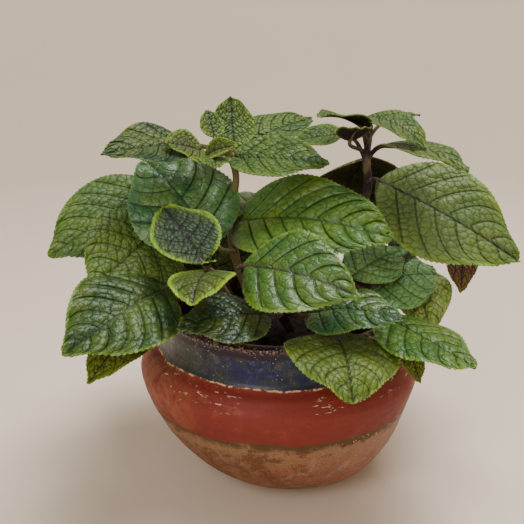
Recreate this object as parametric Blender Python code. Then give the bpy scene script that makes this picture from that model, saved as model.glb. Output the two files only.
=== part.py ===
"""Potted plectranthus: a hand-made bowl pot, dark soil and leafy stems with toothed, quilted leaves.

Metres, +Z up. The origin is the middle of the pot's flat foot, and the side seen from the front is -Y.
"""
import math
import random
from collections import namedtuple

import bmesh
import bpy
from mathutils import Matrix, Vector

MM = 0.001

# Pot: radius against height of the outer side, in mm, from the foot up
POT_OUTER = [(28, 0), (33, 2), (42, 7.5), (50.5, 15), (58, 26), (63.5, 38), (68, 50), (69, 58),
             (65, 65), (60, 69), (58, 75), (58, 82), (58, 86)]
WALL = 5.5
FLOOR = 7.0
FLOOR_RADIUS = 37.0
INNER_HEIGHTS = (15, 38, 58, 69, 86)
LIP_RISE = 2.0
LIP_TURNS = (30, 90, 150)
POT_SIDES = 36

# Hand shaping: the bowl leans sideways as it rises, and it is a little oval
SWAY = -8.0
SWAY_HEIGHT = 50.0
OUT_OF_ROUND = 0.008
OVAL_TURN = 0.6

# Soil: a rough low mound inside the lip, clear of the pot
SOIL_TOP = 77.0
SOIL_MOUND = 2.5
SOIL_GAP = 0.4
SOIL_ROUGH = 0.5
SOIL_RINGS = (1.0, 0.92, 0.72, 0.5, 0.26, 0.0)
SOIL_SEED = 11

# The plant's own zero, from the middle of the pot's foot, in mm
PLANT = Vector((-5.0, 0.0, 0.0))

# Stems stand in round holes in the soil
ROOT_RADIUS = 2.6
ROOT_DEPTH = 24.0
ROOT_RISE = 1.0
ROOT_SIDES = 12
HOLE_GAP = 0.4
HOLE_RISE = 12.0
AXIS_RADII = (2.3, 1.5)
AXIS_SUNK = 2.0

# Stalks: each leaves its stem outward and a little upward, and runs into its blade along the midrib
STALK_RADIUS = 1.25
STALK_TAPER = (1.15, 1.0, 1.0, 0.95, 0.6)
STALK_THIN = 0.62
FULL_LEAF = 60.0
STALK_OUT = 0.24
STALK_LIFT = 0.16
STALK_BACK = 0.35
STALK_SUNK = 0.6
STALK_REACH = 0.10

# Blades: shape of the outline, as shares of the length and of the half width
WIDEST = 0.41
FULLNESS = 0.86
SWEEP = 0.16
VEIN_BEND = 0.45
LAST_TOOTH = 0.985
TOOTH = 0.07
EDGE_WAVE = 0.025
EDGE_WAVES = 2
# Blades: thickness and groove in mm, and puffed field between side veins as a share of the length
THICK = 0.9
GROOVE = 0.5
QUILT = 0.011
QUILT_AT = 0.52
ROWS = [(56, 12), (38, 10), (24, 8)]
FEWEST_ROWS = 6
LEAF_SEED = 31

SHARP_ANGLE = math.radians(38)
GLAZE = ((0.18, 0.10, 0.10, 1.0), 0.45)
EARTH = ((0.016, 0.011, 0.008, 1.0), 0.95)
LEAF_ROUGHNESS = 0.5

# A leaf's stalk leaves its stem at height node, and its blade spreads from base, all in mm from the
# plant's zero. azimuth is counted from +X, rise and roll are in degrees, and a positive roll lifts the
# left edge, seen from the base to the tip. arch is how far the midrib bows upward, and cup is how far
# the edges rise, as a share of the half width. A lower fullness gives a blunter, rounder outline.
Leaf = namedtuple("Leaf", "node base azimuth rise length width roll arch cup fullness",
                  defaults=(FULLNESS,))

LEFT_TALL = [
    Leaf(160, (-45, 6, 166), -140, 1, 49, 31, -27, 2, 0.1, 1.1),
    Leaf(162, (-25, 10, 164), 96, 55, 27, 22, 0, -2, 0.15, 0.62),
    Leaf(162, (-34, 8, 169), 114, 52, 15, 12, 0, 0, 0.15, 0.62),
    Leaf(162, (-39, 4, 163), -136, 17, 24, 20, -40, 1, 0.1),
    Leaf(162, (-39, 1, 161), -38, 20, 22, 11, 50, 2, 0.3),
    Leaf(160, (-27, 4, 160), -20, 0, 49, 31, 28, 2, 0.1),
    Leaf(162, (-22, 16, 164), 36, 12, 46, 26, 22, 2, 0.1, 0.75),
    Leaf(162, (-34, 0, 161), -85, -5, 18, 15, 0, 2, -0.1),
    Leaf(124, (-25, 5, 128), -28, 2, 81, 49, 35, 8, 0.1, 0.64),
    Leaf(112, (-33, -18, 124), 137, 34, 60, 55, -25, 4, -0.1, 0.72),
    Leaf(125, (-32, 18, 131), 130, 3, 50, 38, 0, 5, 0.0),
    Leaf(118, (-19, 16, 126), 66, 3, 48, 36, 0, 5, 0.0),
]
FRONT_LEFT = [
    Leaf(112, (-37, -42, 122), 127, 29, 39, 32, -14, 2, 0.1),
    Leaf(112, (-34, -43, 119), -104, -14, 27, 30, 8, 4, 0.0, 0.75),
    Leaf(116, (-36, -42, 121), -60, 30, 8, 6, 0, 0, 0.2),
]
CENTRE = [
    Leaf(105, (-20, -37, 119), -31, -4, 58, 43, 38, 6, 0.0, 1.05),
    Leaf(90, (-8, -46, 99), -159, 0, 42, 36, -16, 4, -0.1),
    Leaf(92, (9, -40, 97), -33, 9, 46, 32, 18, 5, -0.1, 0.78),
    Leaf(88, (20, -46, 91), -84, -15, 46, 50, -8, 6, -0.1, 0.78),
]
RIGHT_LOW = [
    Leaf(99, (30, -18, 107), 37, 12, 34, 30, 26, 3, 0.1),
    Leaf(98, (38, -11, 100), 10, 6, 37, 40, 30, 4, 0.0, 0.68),
    Leaf(98, (62, 14, 102), -82, -24, 46, 34, 0, 4, 0.0),
    Leaf(92, (43, -34, 95), -50, -9, 53, 38, 1, 1, -0.12, 0.78),
    Leaf(95, (51, -32, 87), -58, -50, 27, 16, 0, 2, 0.0),
    Leaf(98, (88, 8, 118), -100, -42, 30, 16, 0, 3, 0.0),
]
RIGHT_TALL = [
    Leaf(145, (44, 0, 150), -21, -26, 75, 51, 46, 4, 0.0),
    Leaf(157, (46, 0, 167), -45, -8, 46, 26, 2, 4, 0.05),
    Leaf(160, (38, 0, 180), -40, -20, 33, 22, 10, 4, 0.1),
    Leaf(158, (37, 0, 175), -140, 14, 32, 22, 0, 3, 0.1),
    Leaf(160, (29, -6, 170), -82, 24, 20, 16, 0, 2, 0.1),
    Leaf(168, (51, 14, 178), 23, 0, 16, 12, 0, 1, 0.1),
    Leaf(156, (27, 6, 171), 172, -10, 25, 20, -22, 1, 0.1),
    Leaf(152, (40, 16, 158), 100, -42, 50, 48, 0, 4, -0.2),
    Leaf(122, (36, 22, 130), 14, -2, 54, 40, 0, 5, 0.0),
]
LEFT_LOW = [
    Leaf(128, (-63, 12, 145), -143, -24, 64, 44, -34, 2, 0.0),
    Leaf(118, (-60, 20, 124), 122, -2, 46, 38, 0, 5, 0.0),
    Leaf(118, (-59, -2, 128), -124, -20, 52, 48, -40, 2, 0.0, 0.75),
    Leaf(102, (-54, -31, 108), -131, -14, 61, 50, -26, 4, 0.0, 0.95),
    Leaf(96, (-63, -34, 92), -127, -24, 42, 27, -10, 4, 0.0),
]
BACK_MID = [
    Leaf(105, (16, 44, 109), 20, 2, 48, 36, 0, 4, 0.0),
    Leaf(105, (-12, 47, 112), 158, 4, 48, 36, 0, 5, 0.0),
    Leaf(112, (2, 56, 117), 88, -8, 55, 46, 0, 6, 0.0),
    Leaf(95, (8, 52, 97), 78, -22, 52, 42, 0, 6, 0.0),
]
BACK_LEFT = [
    Leaf(103, (-54, 34, 107), 165, 0, 46, 38, 0, 5, 0.0),
    Leaf(103, (-44, 48, 106), 118, -6, 50, 40, 0, 5, 0.0),
    Leaf(90, (-58, 22, 94), 190, -18, 37, 30, 0, 5, 0.0),
    Leaf(88, (-36, 14, 94), 96, 62, 37, 42, 0, 4, 0.0),
]
BACK_RIGHT = [
    Leaf(102, (58, 34, 105), 28, -2, 46, 38, 0, 5, 0.0),
    Leaf(102, (46, 48, 105), 68, -8, 50, 38, 0, 5, 0.0),
    Leaf(92, (54, 32, 90), 36, -26, 37, 30, 0, 5, 0.0),
]

# A stem's route in mm, from the soil up, its leaves, and the red, green and blue of its blades
Stem = namedtuple("Stem", "route leaves colour")

STEMS = {
    "stem_left_tall": Stem([(-16, 4, 80), (-20, 4, 95), (-25, 3, 112), (-27, 5, 131), (-24, 5, 150),
                            (-28, 5, 164)], LEFT_TALL, (0.070, 0.190, 0.035)),
    "stem_front_left": Stem([(-24, -22, 80), (-26, -25, 96), (-32, -36, 112), (-35, -40, 118)],
                            FRONT_LEFT, (0.160, 0.330, 0.040)),
    "stem_centre": Stem([(2, -16, 80), (-4, -20, 92), (-16, -20, 104), (-20, -20, 114)],
                        CENTRE, (0.090, 0.220, 0.035)),
    "stem_right_low": Stem([(30, -16, 80), (33, -18, 90), (38, -16, 101)],
                           RIGHT_LOW, (0.045, 0.130, 0.030)),
    "stem_right_tall": Stem([(26, 14, 80), (33, 14, 110), (40, 9, 142), (39, 8, 158), (40, 8, 175)],
                            RIGHT_TALL, (0.080, 0.200, 0.040)),
    "stem_left_low": Stem([(-38, -6, 80), (-46, -8, 96), (-53, -4, 112), (-60, 8, 132)],
                          LEFT_LOW, (0.110, 0.170, 0.040)),
    "stem_back_mid": Stem([(2, 30, 80), (3, 38, 97), (3, 44, 114)], BACK_MID, (0.060, 0.160, 0.035)),
    "stem_back_left": Stem([(-27, 23, 80), (-36, 30, 94), (-42, 37, 105)],
                           BACK_LEFT, (0.065, 0.170, 0.035)),
    "stem_back_right": Stem([(28, 32, 80), (38, 35, 94), (45, 38, 105)],
                            BACK_RIGHT, (0.065, 0.165, 0.035)),
}


def clear_scene():
    """Remove every object that the open file holds."""
    for item in list(bpy.data.objects):
        bpy.data.objects.remove(item)


def add_material(made, colour, roughness):
    """Give an object a Principled material of its own, named after it."""
    coat = bpy.data.materials.new(made.name)
    coat.use_nodes = True
    shader = coat.node_tree.nodes["Principled BSDF"]
    shader.inputs["Base Color"].default_value = colour
    shader.inputs["Roughness"].default_value = roughness
    made.data.materials.append(coat)


def add_object(name, bm, collection):
    """Turn a bmesh into a named object in a collection."""
    mesh = bpy.data.meshes.new(name)
    bm.normal_update()
    bm.to_mesh(mesh)
    bm.free()
    made = bpy.data.objects.new(name, mesh)
    collection.objects.link(made)
    return made


def new_collection(name):
    """Collection for the shapes that a Boolean joins or cuts."""
    made = bpy.data.collections.new(name)
    bpy.context.scene.collection.children.link(made)
    return made


def combine(target, others, operation):
    """Apply one Boolean of a whole collection to the target, then remove the collection's objects."""
    cut = target.modifiers.new(operation.lower(), "BOOLEAN")
    cut.operation = operation
    cut.operand_type = "COLLECTION"
    cut.collection = others
    depsgraph = bpy.context.evaluated_depsgraph_get()
    mesh = bpy.data.meshes.new_from_object(target.evaluated_get(depsgraph))
    target.modifiers.clear()
    target.data = mesh
    for item in list(others.objects):
        bpy.data.objects.remove(item)
    bpy.data.collections.remove(others)


def finish(made, colour, roughness):
    """Shade an object smooth with its folds kept sharp, and give it its material."""
    made.data.shade_smooth()
    made.data.set_sharp_from_angle(angle=SHARP_ANGLE)
    add_material(made, colour, roughness)


def handmade(point):
    """Shift a point of the pot or the soil a little, as a pot shaped by hand is never quite round."""
    x, y, z = point
    lift = math.sin(0.5 * math.pi * min(max(z / SWAY_HEIGHT, 0.0), 1.0))
    turn = math.atan2(y, x)
    swell = 1.0 + OUT_OF_ROUND * lift * math.cos(2.0 * turn + OVAL_TURN)
    return Vector((x * swell + SWAY * lift, y * swell, z))


def placed(point):
    """Place in metres of a point of the plant, given in mm from the plant's zero."""
    return (point + PLANT) * MM


def outer_radius(height):
    """Radius of the pot's outer side at a height, in mm."""
    for (near, low), (far, high) in zip(POT_OUTER, POT_OUTER[1:]):
        if height <= high:
            return near + (far - near) * (height - low) / (high - low)
    return POT_OUTER[-1][0]


def inner_profile(gap):
    """Radius and height of the pot's inner side, kept gap inside it, from the middle of the floor up."""
    points = [(0.0, FLOOR + gap), (FLOOR_RADIUS - gap, FLOOR + gap)]
    for height in INNER_HEIGHTS:
        points.append((outer_radius(height) - WALL - gap, height))
    return points


def lathe(profile):
    """Closed turned solid from a profile that starts and ends on the axis, in mm."""
    bm = bmesh.new()
    rings = []
    for radius, height in profile[1:-1]:
        ring = []
        for step in range(POT_SIDES):
            turn = 2 * math.pi * step / POT_SIDES
            spot = handmade((radius * math.cos(turn), radius * math.sin(turn), height))
            ring.append(bm.verts.new(spot * MM))
        rings.append(ring)
    bottom = bm.verts.new(handmade((0, 0, profile[0][1])) * MM)
    top = bm.verts.new(handmade((0, 0, profile[-1][1])) * MM)
    for step in range(POT_SIDES):
        after = (step + 1) % POT_SIDES
        bm.faces.new((bottom, rings[0][after], rings[0][step]))
        for low, high in zip(rings, rings[1:]):
            bm.faces.new((low[step], low[after], high[after], high[step]))
        bm.faces.new((top, rings[-1][step], rings[-1][after]))
    return bm


def build_pot():
    """Round-bottomed bowl on a small flat foot, with a shoulder below a plain rounded lip."""
    neck, shoulder_top = POT_OUTER[-1]
    lip = []
    for degrees in LIP_TURNS:
        turn = math.radians(degrees)
        lip.append((neck - WALL / 2 * (1.0 - math.cos(turn)), shoulder_top + LIP_RISE * math.sin(turn)))
    profile = [(0.0, 0.0)] + POT_OUTER + lip + inner_profile(0.0)[::-1]
    finish(add_object("pot", lathe(profile), bpy.context.scene.collection), *GLAZE)


def soil_mesh():
    """Soil that fills the pot, with a rough low mound on top."""
    edge = outer_radius(SOIL_TOP) - WALL - SOIL_GAP
    profile = [point for point in inner_profile(SOIL_GAP) if point[1] < SOIL_TOP]
    for share in SOIL_RINGS:
        profile.append((edge * share, SOIL_TOP + SOIL_MOUND * (1.0 - share ** 2)))
    bm = lathe(profile)
    rng = random.Random(SOIL_SEED)
    for vert in bm.verts:
        if vert.co.z > (SOIL_TOP + SOIL_GAP / 2) * MM:
            vert.co.z += rng.uniform(-SOIL_ROUGH / 2, SOIL_ROUGH) * MM
    bmesh.ops.triangulate(bm, faces=bm.faces)
    return bm


def post(foot, low, high, radius):
    """Round upright post round a foot point, between two heights, in mm."""
    bm = bmesh.new()
    middle = placed(Vector((foot[0], foot[1], (low + high) / 2)))
    bmesh.ops.create_cone(bm, cap_ends=True, segments=ROOT_SIDES, radius1=radius * MM,
                          radius2=radius * MM, depth=(high - low) * MM,
                          matrix=Matrix.Translation(middle))
    return bm


def build_soil():
    """The soil, with a round hole for each stem."""
    soil = add_object("soil", soil_mesh(), bpy.context.scene.collection)
    holes = new_collection("holes")
    for name, stem in STEMS.items():
        foot = stem.route[0]
        hole = post(foot, SOIL_TOP - ROOT_DEPTH - HOLE_GAP, SOIL_TOP + HOLE_RISE, ROOT_RADIUS + HOLE_GAP)
        add_object("hole_" + name, hole, holes)
    combine(soil, holes, "DIFFERENCE")
    finish(soil, *EARTH)


def along(route, height):
    """Point of a stem's route at a height, in mm."""
    for low, high in zip(route, route[1:]):
        if height <= high[2]:
            share = max(0.0, (height - low[2]) / (high[2] - low[2]))
            return Vector(low).lerp(Vector(high), share)
    return Vector(route[-1])


class Blade:
    """Frame of a leaf: its bowed midrib, and the directions across it and out of its upper face."""

    def __init__(self, leaf):
        azimuth = math.radians(leaf.azimuth)
        rise = math.radians(leaf.rise)
        level = Vector((math.cos(azimuth), math.sin(azimuth), 0.0))
        self.leaf = leaf
        self.base = Vector(leaf.base)
        self.forward = level * math.cos(rise) + Vector((0.0, 0.0, math.sin(rise)))
        spin = Matrix.Rotation(math.radians(leaf.roll), 3, self.forward)
        self.left = spin @ Vector((-level.y, level.x, 0.0))
        self.up = self.forward.cross(self.left)

    def frame(self, share):
        """Midrib point, direction along it and upward normal, share of the way from base to tip."""
        leaf = self.leaf
        bow = 4.0 * leaf.arch * share * (1.0 - share)
        spot = self.base + self.forward * leaf.length * share + self.up * bow
        slope = math.atan2(4.0 * leaf.arch * (1.0 - 2.0 * share), leaf.length)
        ahead = self.forward * math.cos(slope) + self.up * math.sin(slope)
        normal = self.up * math.cos(slope) - self.forward * math.sin(slope)
        return spot, ahead, normal

    def half_width(self, share):
        """Half the blade's width: broad and rounded near the base, narrowing to a blunt tip."""
        power = math.log(0.5) / math.log(WIDEST)
        return 0.5 * self.leaf.width * math.sin(math.pi * share ** power) ** self.leaf.fullness

    def faces(self, share, across, lift):
        """Upper and lower point at a place: across is -1 at the right edge and 1 at the left edge."""
        centre, ahead, normal = self.frame(share)
        half = self.half_width(share)
        rise = self.leaf.cup * half * across * across + lift
        upper = centre + self.left * half * across + normal * rise
        return upper, upper - normal * THICK


def leaf_rows(length):
    """How many rows a blade of this length is made of; every second row runs over a puffed field."""
    for least, rows in ROWS:
        if length >= least:
            return rows
    return FEWEST_ROWS


def blade_rows(leaf, seed):
    """Upper and lower points of a blade, row by row from base to tip, five across from left to right."""
    blade = Blade(leaf)
    rows = leaf_rows(leaf.length)
    phase = random.Random(seed).uniform(0.0, 2 * math.pi)
    lines = []
    for row in range(1, rows):
        share = row / rows
        ridge = 1.0 if row % 2 else -1.0
        edge = min(share + SWEEP * math.sin(math.pi * share), LAST_TOOTH)
        slimness = leaf.width / max(2.0 * blade.half_width(edge), 1.0)
        tooth = 1.0 + TOOTH * ridge * math.sqrt(slimness)
        puff = QUILT * leaf.length * ridge
        columns = ((1.0, tooth, 0.0), (QUILT_AT, 1.0, puff), (0.0, 1.0, -GROOVE),
                   (-QUILT_AT, 1.0, puff), (-1.0, tooth, 0.0))
        line = []
        for across, stretch, lift in columns:
            turn = 2.0 * math.pi * EDGE_WAVES * share + phase + across
            wave = EDGE_WAVE * leaf.width * math.sin(turn) * across ** 2
            bend = abs(across) * (1.0 - VEIN_BEND * (1.0 - abs(across)))
            spot = share + (edge - share) * bend
            line.append(blade.faces(spot, across * stretch, lift + wave))
        lines.append(line)
    return blade, lines


def blade_mesh(leaf, seed):
    """Leaf blade: quilted between its side veins, with rounded teeth along a slightly waved edge."""
    blade, lines = blade_rows(leaf, seed)
    bm = bmesh.new()
    ends = []
    for share in (0.0, 1.0):
        spot, ahead, normal = blade.frame(share)
        ends.append((bm.verts.new(placed(spot)), bm.verts.new(placed(spot - normal * THICK))))
    rows = []
    for line in lines:
        rows.append([(bm.verts.new(placed(upper)), bm.verts.new(placed(lower))) for upper, lower in line])

    def skin(*corners):
        """Triangle of the upper face, and the same triangle of the lower face."""
        bm.faces.new([upper for upper, lower in corners])
        bm.faces.new([lower for upper, lower in corners[::-1]])

    for here, there in zip(rows, rows[1:]):
        for a, b, c, d in zip(here[:2], here[1:3], there[1:3], there[:2]):
            skin(a, b, c)
            skin(a, c, d)
        for a, b, c, d in zip(here[2:4], here[3:], there[3:], there[2:4]):
            skin(d, a, b)
            skin(d, b, c)
    for left, right in zip(rows[0], rows[0][1:]):
        skin(ends[0], right, left)
    for left, right in zip(rows[-1], rows[-1][1:]):
        skin(ends[1], left, right)
    left_edge = [ends[0]] + [row[0] for row in rows] + [ends[1]]
    right_edge = [ends[1]] + [row[-1] for row in rows[::-1]] + [ends[0]]
    for edge in (left_edge, right_edge):
        for (upper, lower), (next_upper, next_lower) in zip(edge, edge[1:]):
            bm.faces.new((upper, next_upper, next_lower))
            bm.faces.new((upper, next_lower, lower))
    return bm


def tube_mesh(points, radii):
    """Closed four-sided tube through the points, in mm, with flat ends."""
    bm = bmesh.new()
    rings = []
    side = None
    for index, point in enumerate(points):
        before = points[max(index - 1, 0)]
        after = points[min(index + 1, len(points) - 1)]
        ahead = (after - before).normalized()
        side = side or ahead.orthogonal()
        side = (side - ahead * side.dot(ahead)).normalized()
        other = ahead.cross(side)
        ring = []
        for out in (side, other, -side, -other):
            ring.append(bm.verts.new(placed(point + out * radii[index])))
        rings.append(ring)
    for low, high in zip(rings, rings[1:]):
        for step in range(4):
            after = (step + 1) % 4
            bm.faces.new((low[step], low[after], high[after]))
            bm.faces.new((low[step], high[after], high[step]))
    bm.faces.new(rings[0][::-1])
    bm.faces.new(rings[-1])
    return bm


def axis_mesh(route):
    """Square axis of a stem, which tapers upward and starts a little down in its round foot."""
    foot, top = AXIS_RADII
    points = [Vector(point) for point in route]
    radii = [foot + (top - foot) * index / (len(route) - 1) for index in range(len(route))]
    return tube_mesh([points[0] - Vector((0, 0, AXIS_SUNK))] + points, [foot] + radii)


def stalk_mesh(route, leaf):
    """Stalk of a leaf, a bowed tube from inside its stem to inside the base of its blade."""
    blade = Blade(leaf)
    start = along(route, leaf.node)
    base, ahead, normal = blade.frame(0.0)
    inside, inner_ahead, inner_normal = blade.frame(STALK_REACH)
    out = base - start
    reach = out.length
    first = start + out * STALK_OUT + Vector((0, 0, STALK_LIFT * reach))
    second = base - ahead * STALK_BACK * reach - normal * STALK_SUNK
    end = base - normal * STALK_SUNK
    points = []
    for share in (0.0, 1 / 3, 2 / 3, 1.0):
        keep = 1.0 - share
        points.append(start * keep ** 3 + first * 3 * keep ** 2 * share + second * 3 * keep * share ** 2
                      + end * share ** 3)
    points.append(inside - inner_normal * STALK_SUNK)
    radius = STALK_RADIUS * (STALK_THIN + (1.0 - STALK_THIN) * min(leaf.length / FULL_LEAF, 1.0))
    return tube_mesh(points, [radius * taper for taper in STALK_TAPER])


def stem_parts(stem):
    """Meshes of a stem's axis, foot, stalks and blades, each a closed body of its own."""
    foot = stem.route[0]
    parts = [axis_mesh(stem.route), post(foot, SOIL_TOP - ROOT_DEPTH, foot[2] + ROOT_RISE, ROOT_RADIUS)]
    for index, leaf in enumerate(stem.leaves):
        parts.append(stalk_mesh(stem.route, leaf))
        parts.append(blade_mesh(leaf, LEAF_SEED * len(stem.leaves) + index))
    return parts


def build_stem(name, stem):
    """One leafy stem, its axis, foot, stalks and blades joined into one body."""
    parts = stem_parts(stem)
    target = add_object(name, parts[0], bpy.context.scene.collection)
    others = new_collection(name + "_parts")
    for index, bm in enumerate(parts[1:]):
        add_object(name + "_" + str(index), bm, others)
    combine(target, others, "UNION")
    finish(target, (*stem.colour, 1.0), LEAF_ROUGHNESS)


def main():
    """Build the pot, the soil and every leafy stem."""
    clear_scene()
    build_pot()
    build_soil()
    for name, stem in STEMS.items():
        build_stem(name, stem)


if __name__ == "__main__":
    main()
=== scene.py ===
"""Potted plectranthus: a banded bowl pot, dark soil, and leafy stems with veined, toothed, hairy leaves.

Lengths in the tables are in mm and every mesh is in metres, +Z up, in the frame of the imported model.
"""

import math
import random
from collections import namedtuple

import bpy
import numpy as np
from mathutils import Matrix, Vector, noise


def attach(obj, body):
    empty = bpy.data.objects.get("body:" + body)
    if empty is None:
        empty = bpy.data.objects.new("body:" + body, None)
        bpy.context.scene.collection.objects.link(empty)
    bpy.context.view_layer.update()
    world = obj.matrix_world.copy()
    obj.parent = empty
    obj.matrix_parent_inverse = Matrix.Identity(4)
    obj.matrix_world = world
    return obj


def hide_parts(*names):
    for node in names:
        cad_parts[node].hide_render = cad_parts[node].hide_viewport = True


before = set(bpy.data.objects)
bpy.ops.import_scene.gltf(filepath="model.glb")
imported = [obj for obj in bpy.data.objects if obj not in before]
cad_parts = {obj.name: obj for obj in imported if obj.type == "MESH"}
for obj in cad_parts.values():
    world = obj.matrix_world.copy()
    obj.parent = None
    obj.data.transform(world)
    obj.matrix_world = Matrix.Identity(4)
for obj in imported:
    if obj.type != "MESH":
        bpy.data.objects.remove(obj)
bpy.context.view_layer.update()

bl_info = {
    "name": "Potted Plectranthus",
    "version": (1, 0, 0),
    "blender": (4, 5, 0),
    "location": "3D View > Sidebar > Plectranthus",
    "description": "Builds a leafy plectranthus in a hand-made banded pot, piece by piece",
    "category": "Object",
}

MM = 0.001
BODY = "root"
MERGE = 1e-6

# Pot: radius against height of the outer side, in mm, from the foot up
POT_OUTER = [(28, 0), (33, 2), (42, 7.5), (50.5, 15), (58, 26), (63.5, 38), (68, 50), (69, 58),
             (65, 65), (60, 69), (58, 75), (58, 82), (58, 86)]
NECK, RIM = POT_OUTER[-1]
WALL = 5.5
POT_FLOOR = 7.0
POT_FLOOR_RADIUS = 37.0
POT_FLOOR_MIDDLE = 4.0
INNER_HEIGHTS = (86, 69, 58, 38, 15)
LIP_RISE = 2.0
LIP_TURN = 15
SWAY = -8.0
SWAY_HEIGHT = 50.0
OUT_OF_ROUND = 0.008
OVAL_TURN = 0.6
FLAT_FOOT = 6.0
WAVY_RIM = (80.0, 88.0)

# Layers of unevenness, each as its size in mm, its seed and its height
POT_LUMPS = ((24.0, 0.0, 1.6), (9.0, 5.0, 0.5))
RIM_LUMPS = ((30.0, 9.0, 1.4),)
SOIL_LUMPS = ((6.0, 2.0, 1.0), (2.2, 4.0, 0.6))

# Throwing ridges of the pot: their turn for each mm of height, how many run side by side, their height
RIDGE_TURN = 1.9
RIDGE_STARTS = 2.0
RIDGE_HEIGHT = 0.12

# Inner glaze: its lowest height in mm, the most that its faces point outward, and the share of the
# wall's thickness that it leaves bare on the lip
INNER_GLAZE_FOOT = 20.0
INNER_GLAZE_FACING = 0.35
INNER_GLAZE_EDGE = 0.35

SOIL_TOP = 77.0
SOIL_MOUND = 2.5
SOIL_GAP = 0.4
SOIL_DEPTH = 12.0
SOIL_SIDES = 128
SOIL_CALM = 0.97
CRUMB_SIZES = (0.4, 1.3)
CRUMB_STRETCH = (0.6, 1.3)
CRUMB_DENT = 0.25
CRUMB_MARGIN = 2.5
CRUMB_LIFT = 0.1
CRUMB_SEED = 17

# The plant's own zero, from the middle of the pot's foot, in mm
PLANT = np.array((-5.0, 0.0, 0.0))

# Stage: the floor's flat part, the bend of its edge and its wall, in mm, and the lights' places in m
STAGE_FLAT = 800.0
STAGE_BEND = 450.0
STAGE_WALL = 900.0
STAGE_SIDES = 96
STAGE_BEND_RINGS = 17
SENSOR_WIDTH = 36.0
NEAR_CLIP = 0.01
LIGHTS = (("overhead", (0.20, 0.10, 1.15), 17.0), ("window", (-0.45, -0.95, 0.75), 6.0))
LIGHT_SIZE = 0.6
LIGHT_TARGET = Vector((0.0, 0.0, 0.1))
SKY_STRENGTH = 0.27

# Stems and stalks, in mm, with the reach of a stalk's bend as shares of its length, its swell where it
# leaves its stem, and places along the rib under the midrib as shares of the blade's length
AXIS_RADII = (2.3, 1.5)
AXIS_SUNK = 8.0
NODE_REACH = 2.2
NODE_SWELL = 0.18
STALK_RADIUS = 1.25
STALK_THIN = 0.62
FULL_LEAF = 60.0
STALK_OUT = 0.24
STALK_LIFT = 0.16
STALK_BACK = 0.35
STALK_SUNK = 0.6
STALK_SWELL = 0.25
STALK_STEPS = 14
RIB_STEPS = 14
RIB_START = 0.1
RIB_END = 0.86
RIB_DROP = 0.35
RIB_TAPER = 0.8
RIB_THINNEST = 0.12
RIB_SUNK = 0.25
RIB_SUNK_BY = 0.12

# Hairs: the bare start of an edge as a share of it, how much denser hairs stand on a stalk, how far out
# on its radius they root, how far they stray from straight out, and the shortest as a share of the longest
HAIR_START = 0.04
STALK_HAIRS = 4.0
HAIR_ROOT = 0.85
HAIR_STRAY = 0.3
HAIR_SHORTEST = 0.5

# Blades: outline, vein sweep and edge, as shares of the length and of the half width
WIDEST = 0.41
FULLNESS = 0.86
VEIN_BEND = 0.45
EDGE_WAVE = 0.025
EDGE_WAVES = 2
LEAF_SEED = 31
ROW_CROWDING = 1.5
COLUMNS = np.array([-1.0, -0.98, -0.94, -0.88, -0.80, -0.70, -0.59, -0.48, -0.37, -0.26, -0.16, -0.08,
                    -0.035, 0.0, 0.035, 0.08, 0.16, 0.26, 0.37, 0.48, 0.59, 0.70, 0.80, 0.88, 0.94,
                    0.98, 1.0])
FEWEST_ROWS = 30

# Side veins and the puffed fields between them: the veins' number at no length and the mm of blade for
# each further one, how they crowd towards the tip, the stagger of one half, how flat a field's top is,
# the level that it puffs up from, where and how far it sinks again towards the midrib and the edge, as
# shares of the half width, how it grows with gloss, and the midrib groove's width and its blade length
# for full depth, in mm. All of it fades where the blade is narrower than some mm.
VEINS_FEWEST = 3.5
VEIN_SPACING = 20.0
VEIN_CROWDING = 0.92
VEIN_STAGGER = (0.2, 0.45)
VEIN_SWEEP = 1.8
FIELD_FLATNESS = 0.62
FIELD_LEVEL = 0.4
FIELD_INNER = (0.0, 0.2)
FIELD_OUTER = (0.78, 1.0)
FIELD_OUTER_DROP = 0.85
FIELD_NARROW = (0.5, 6.0)
PUFF_DULL = 0.3
PUFF_GLOSSY = 0.9
GROOVE_WIDTH = 0.9
GROOVE_NARROW = (0.5, 4.0)
GROOVE_FULL = 45.0

# Teeth: how they shrink with the blade, their least pitch in mm, their uneven size, their lean and
# roundness, where along the blade they start, how far in they reach, and the bare base of the light rim
TOOTH_SHRINK = 0.6
TOOTH_PITCH_LEAST = 1.1
TOOTH_SIZES = (0.7, 1.15)
TOOTH_LEAN = 1.4
TOOTH_ROUNDNESS = 0.7
TOOTH_START = (0.03, 0.14)
TOOTH_NARROW = (0.0, 1.5)
TOOTH_ROOT = 0.86
RIM_BASE = 0.10
RIM_BASE_GAIN = 0.8

# Cross veins: their lean towards the tip, their spacing as a share of the length, kept within mm limits
# and wider on glossy blades, and the shifts that give each blade and each half of it its own pattern
VEIN_LEAN = math.radians(35.0)
RUNG_SHARE = 0.052
RUNG_LIMITS = (1.5, 3.0)
RUNG_DULL = 0.85
RUNG_GLOSSY = 0.6
VEINS_SHIFT = 20.0
NET_SHIFT = 90.0
HALF_SHIFT = 37.0


def paint(red, green, blue):
    """Linear colour of a screen colour given from 0 to 255."""
    linear = []
    for value in (red, green, blue):
        share = value / 255.0
        linear.append(share / 12.92 if share <= 0.04045 else ((share + 0.055) / 1.055) ** 2.4)
    return (*linear, 1.0)


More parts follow.
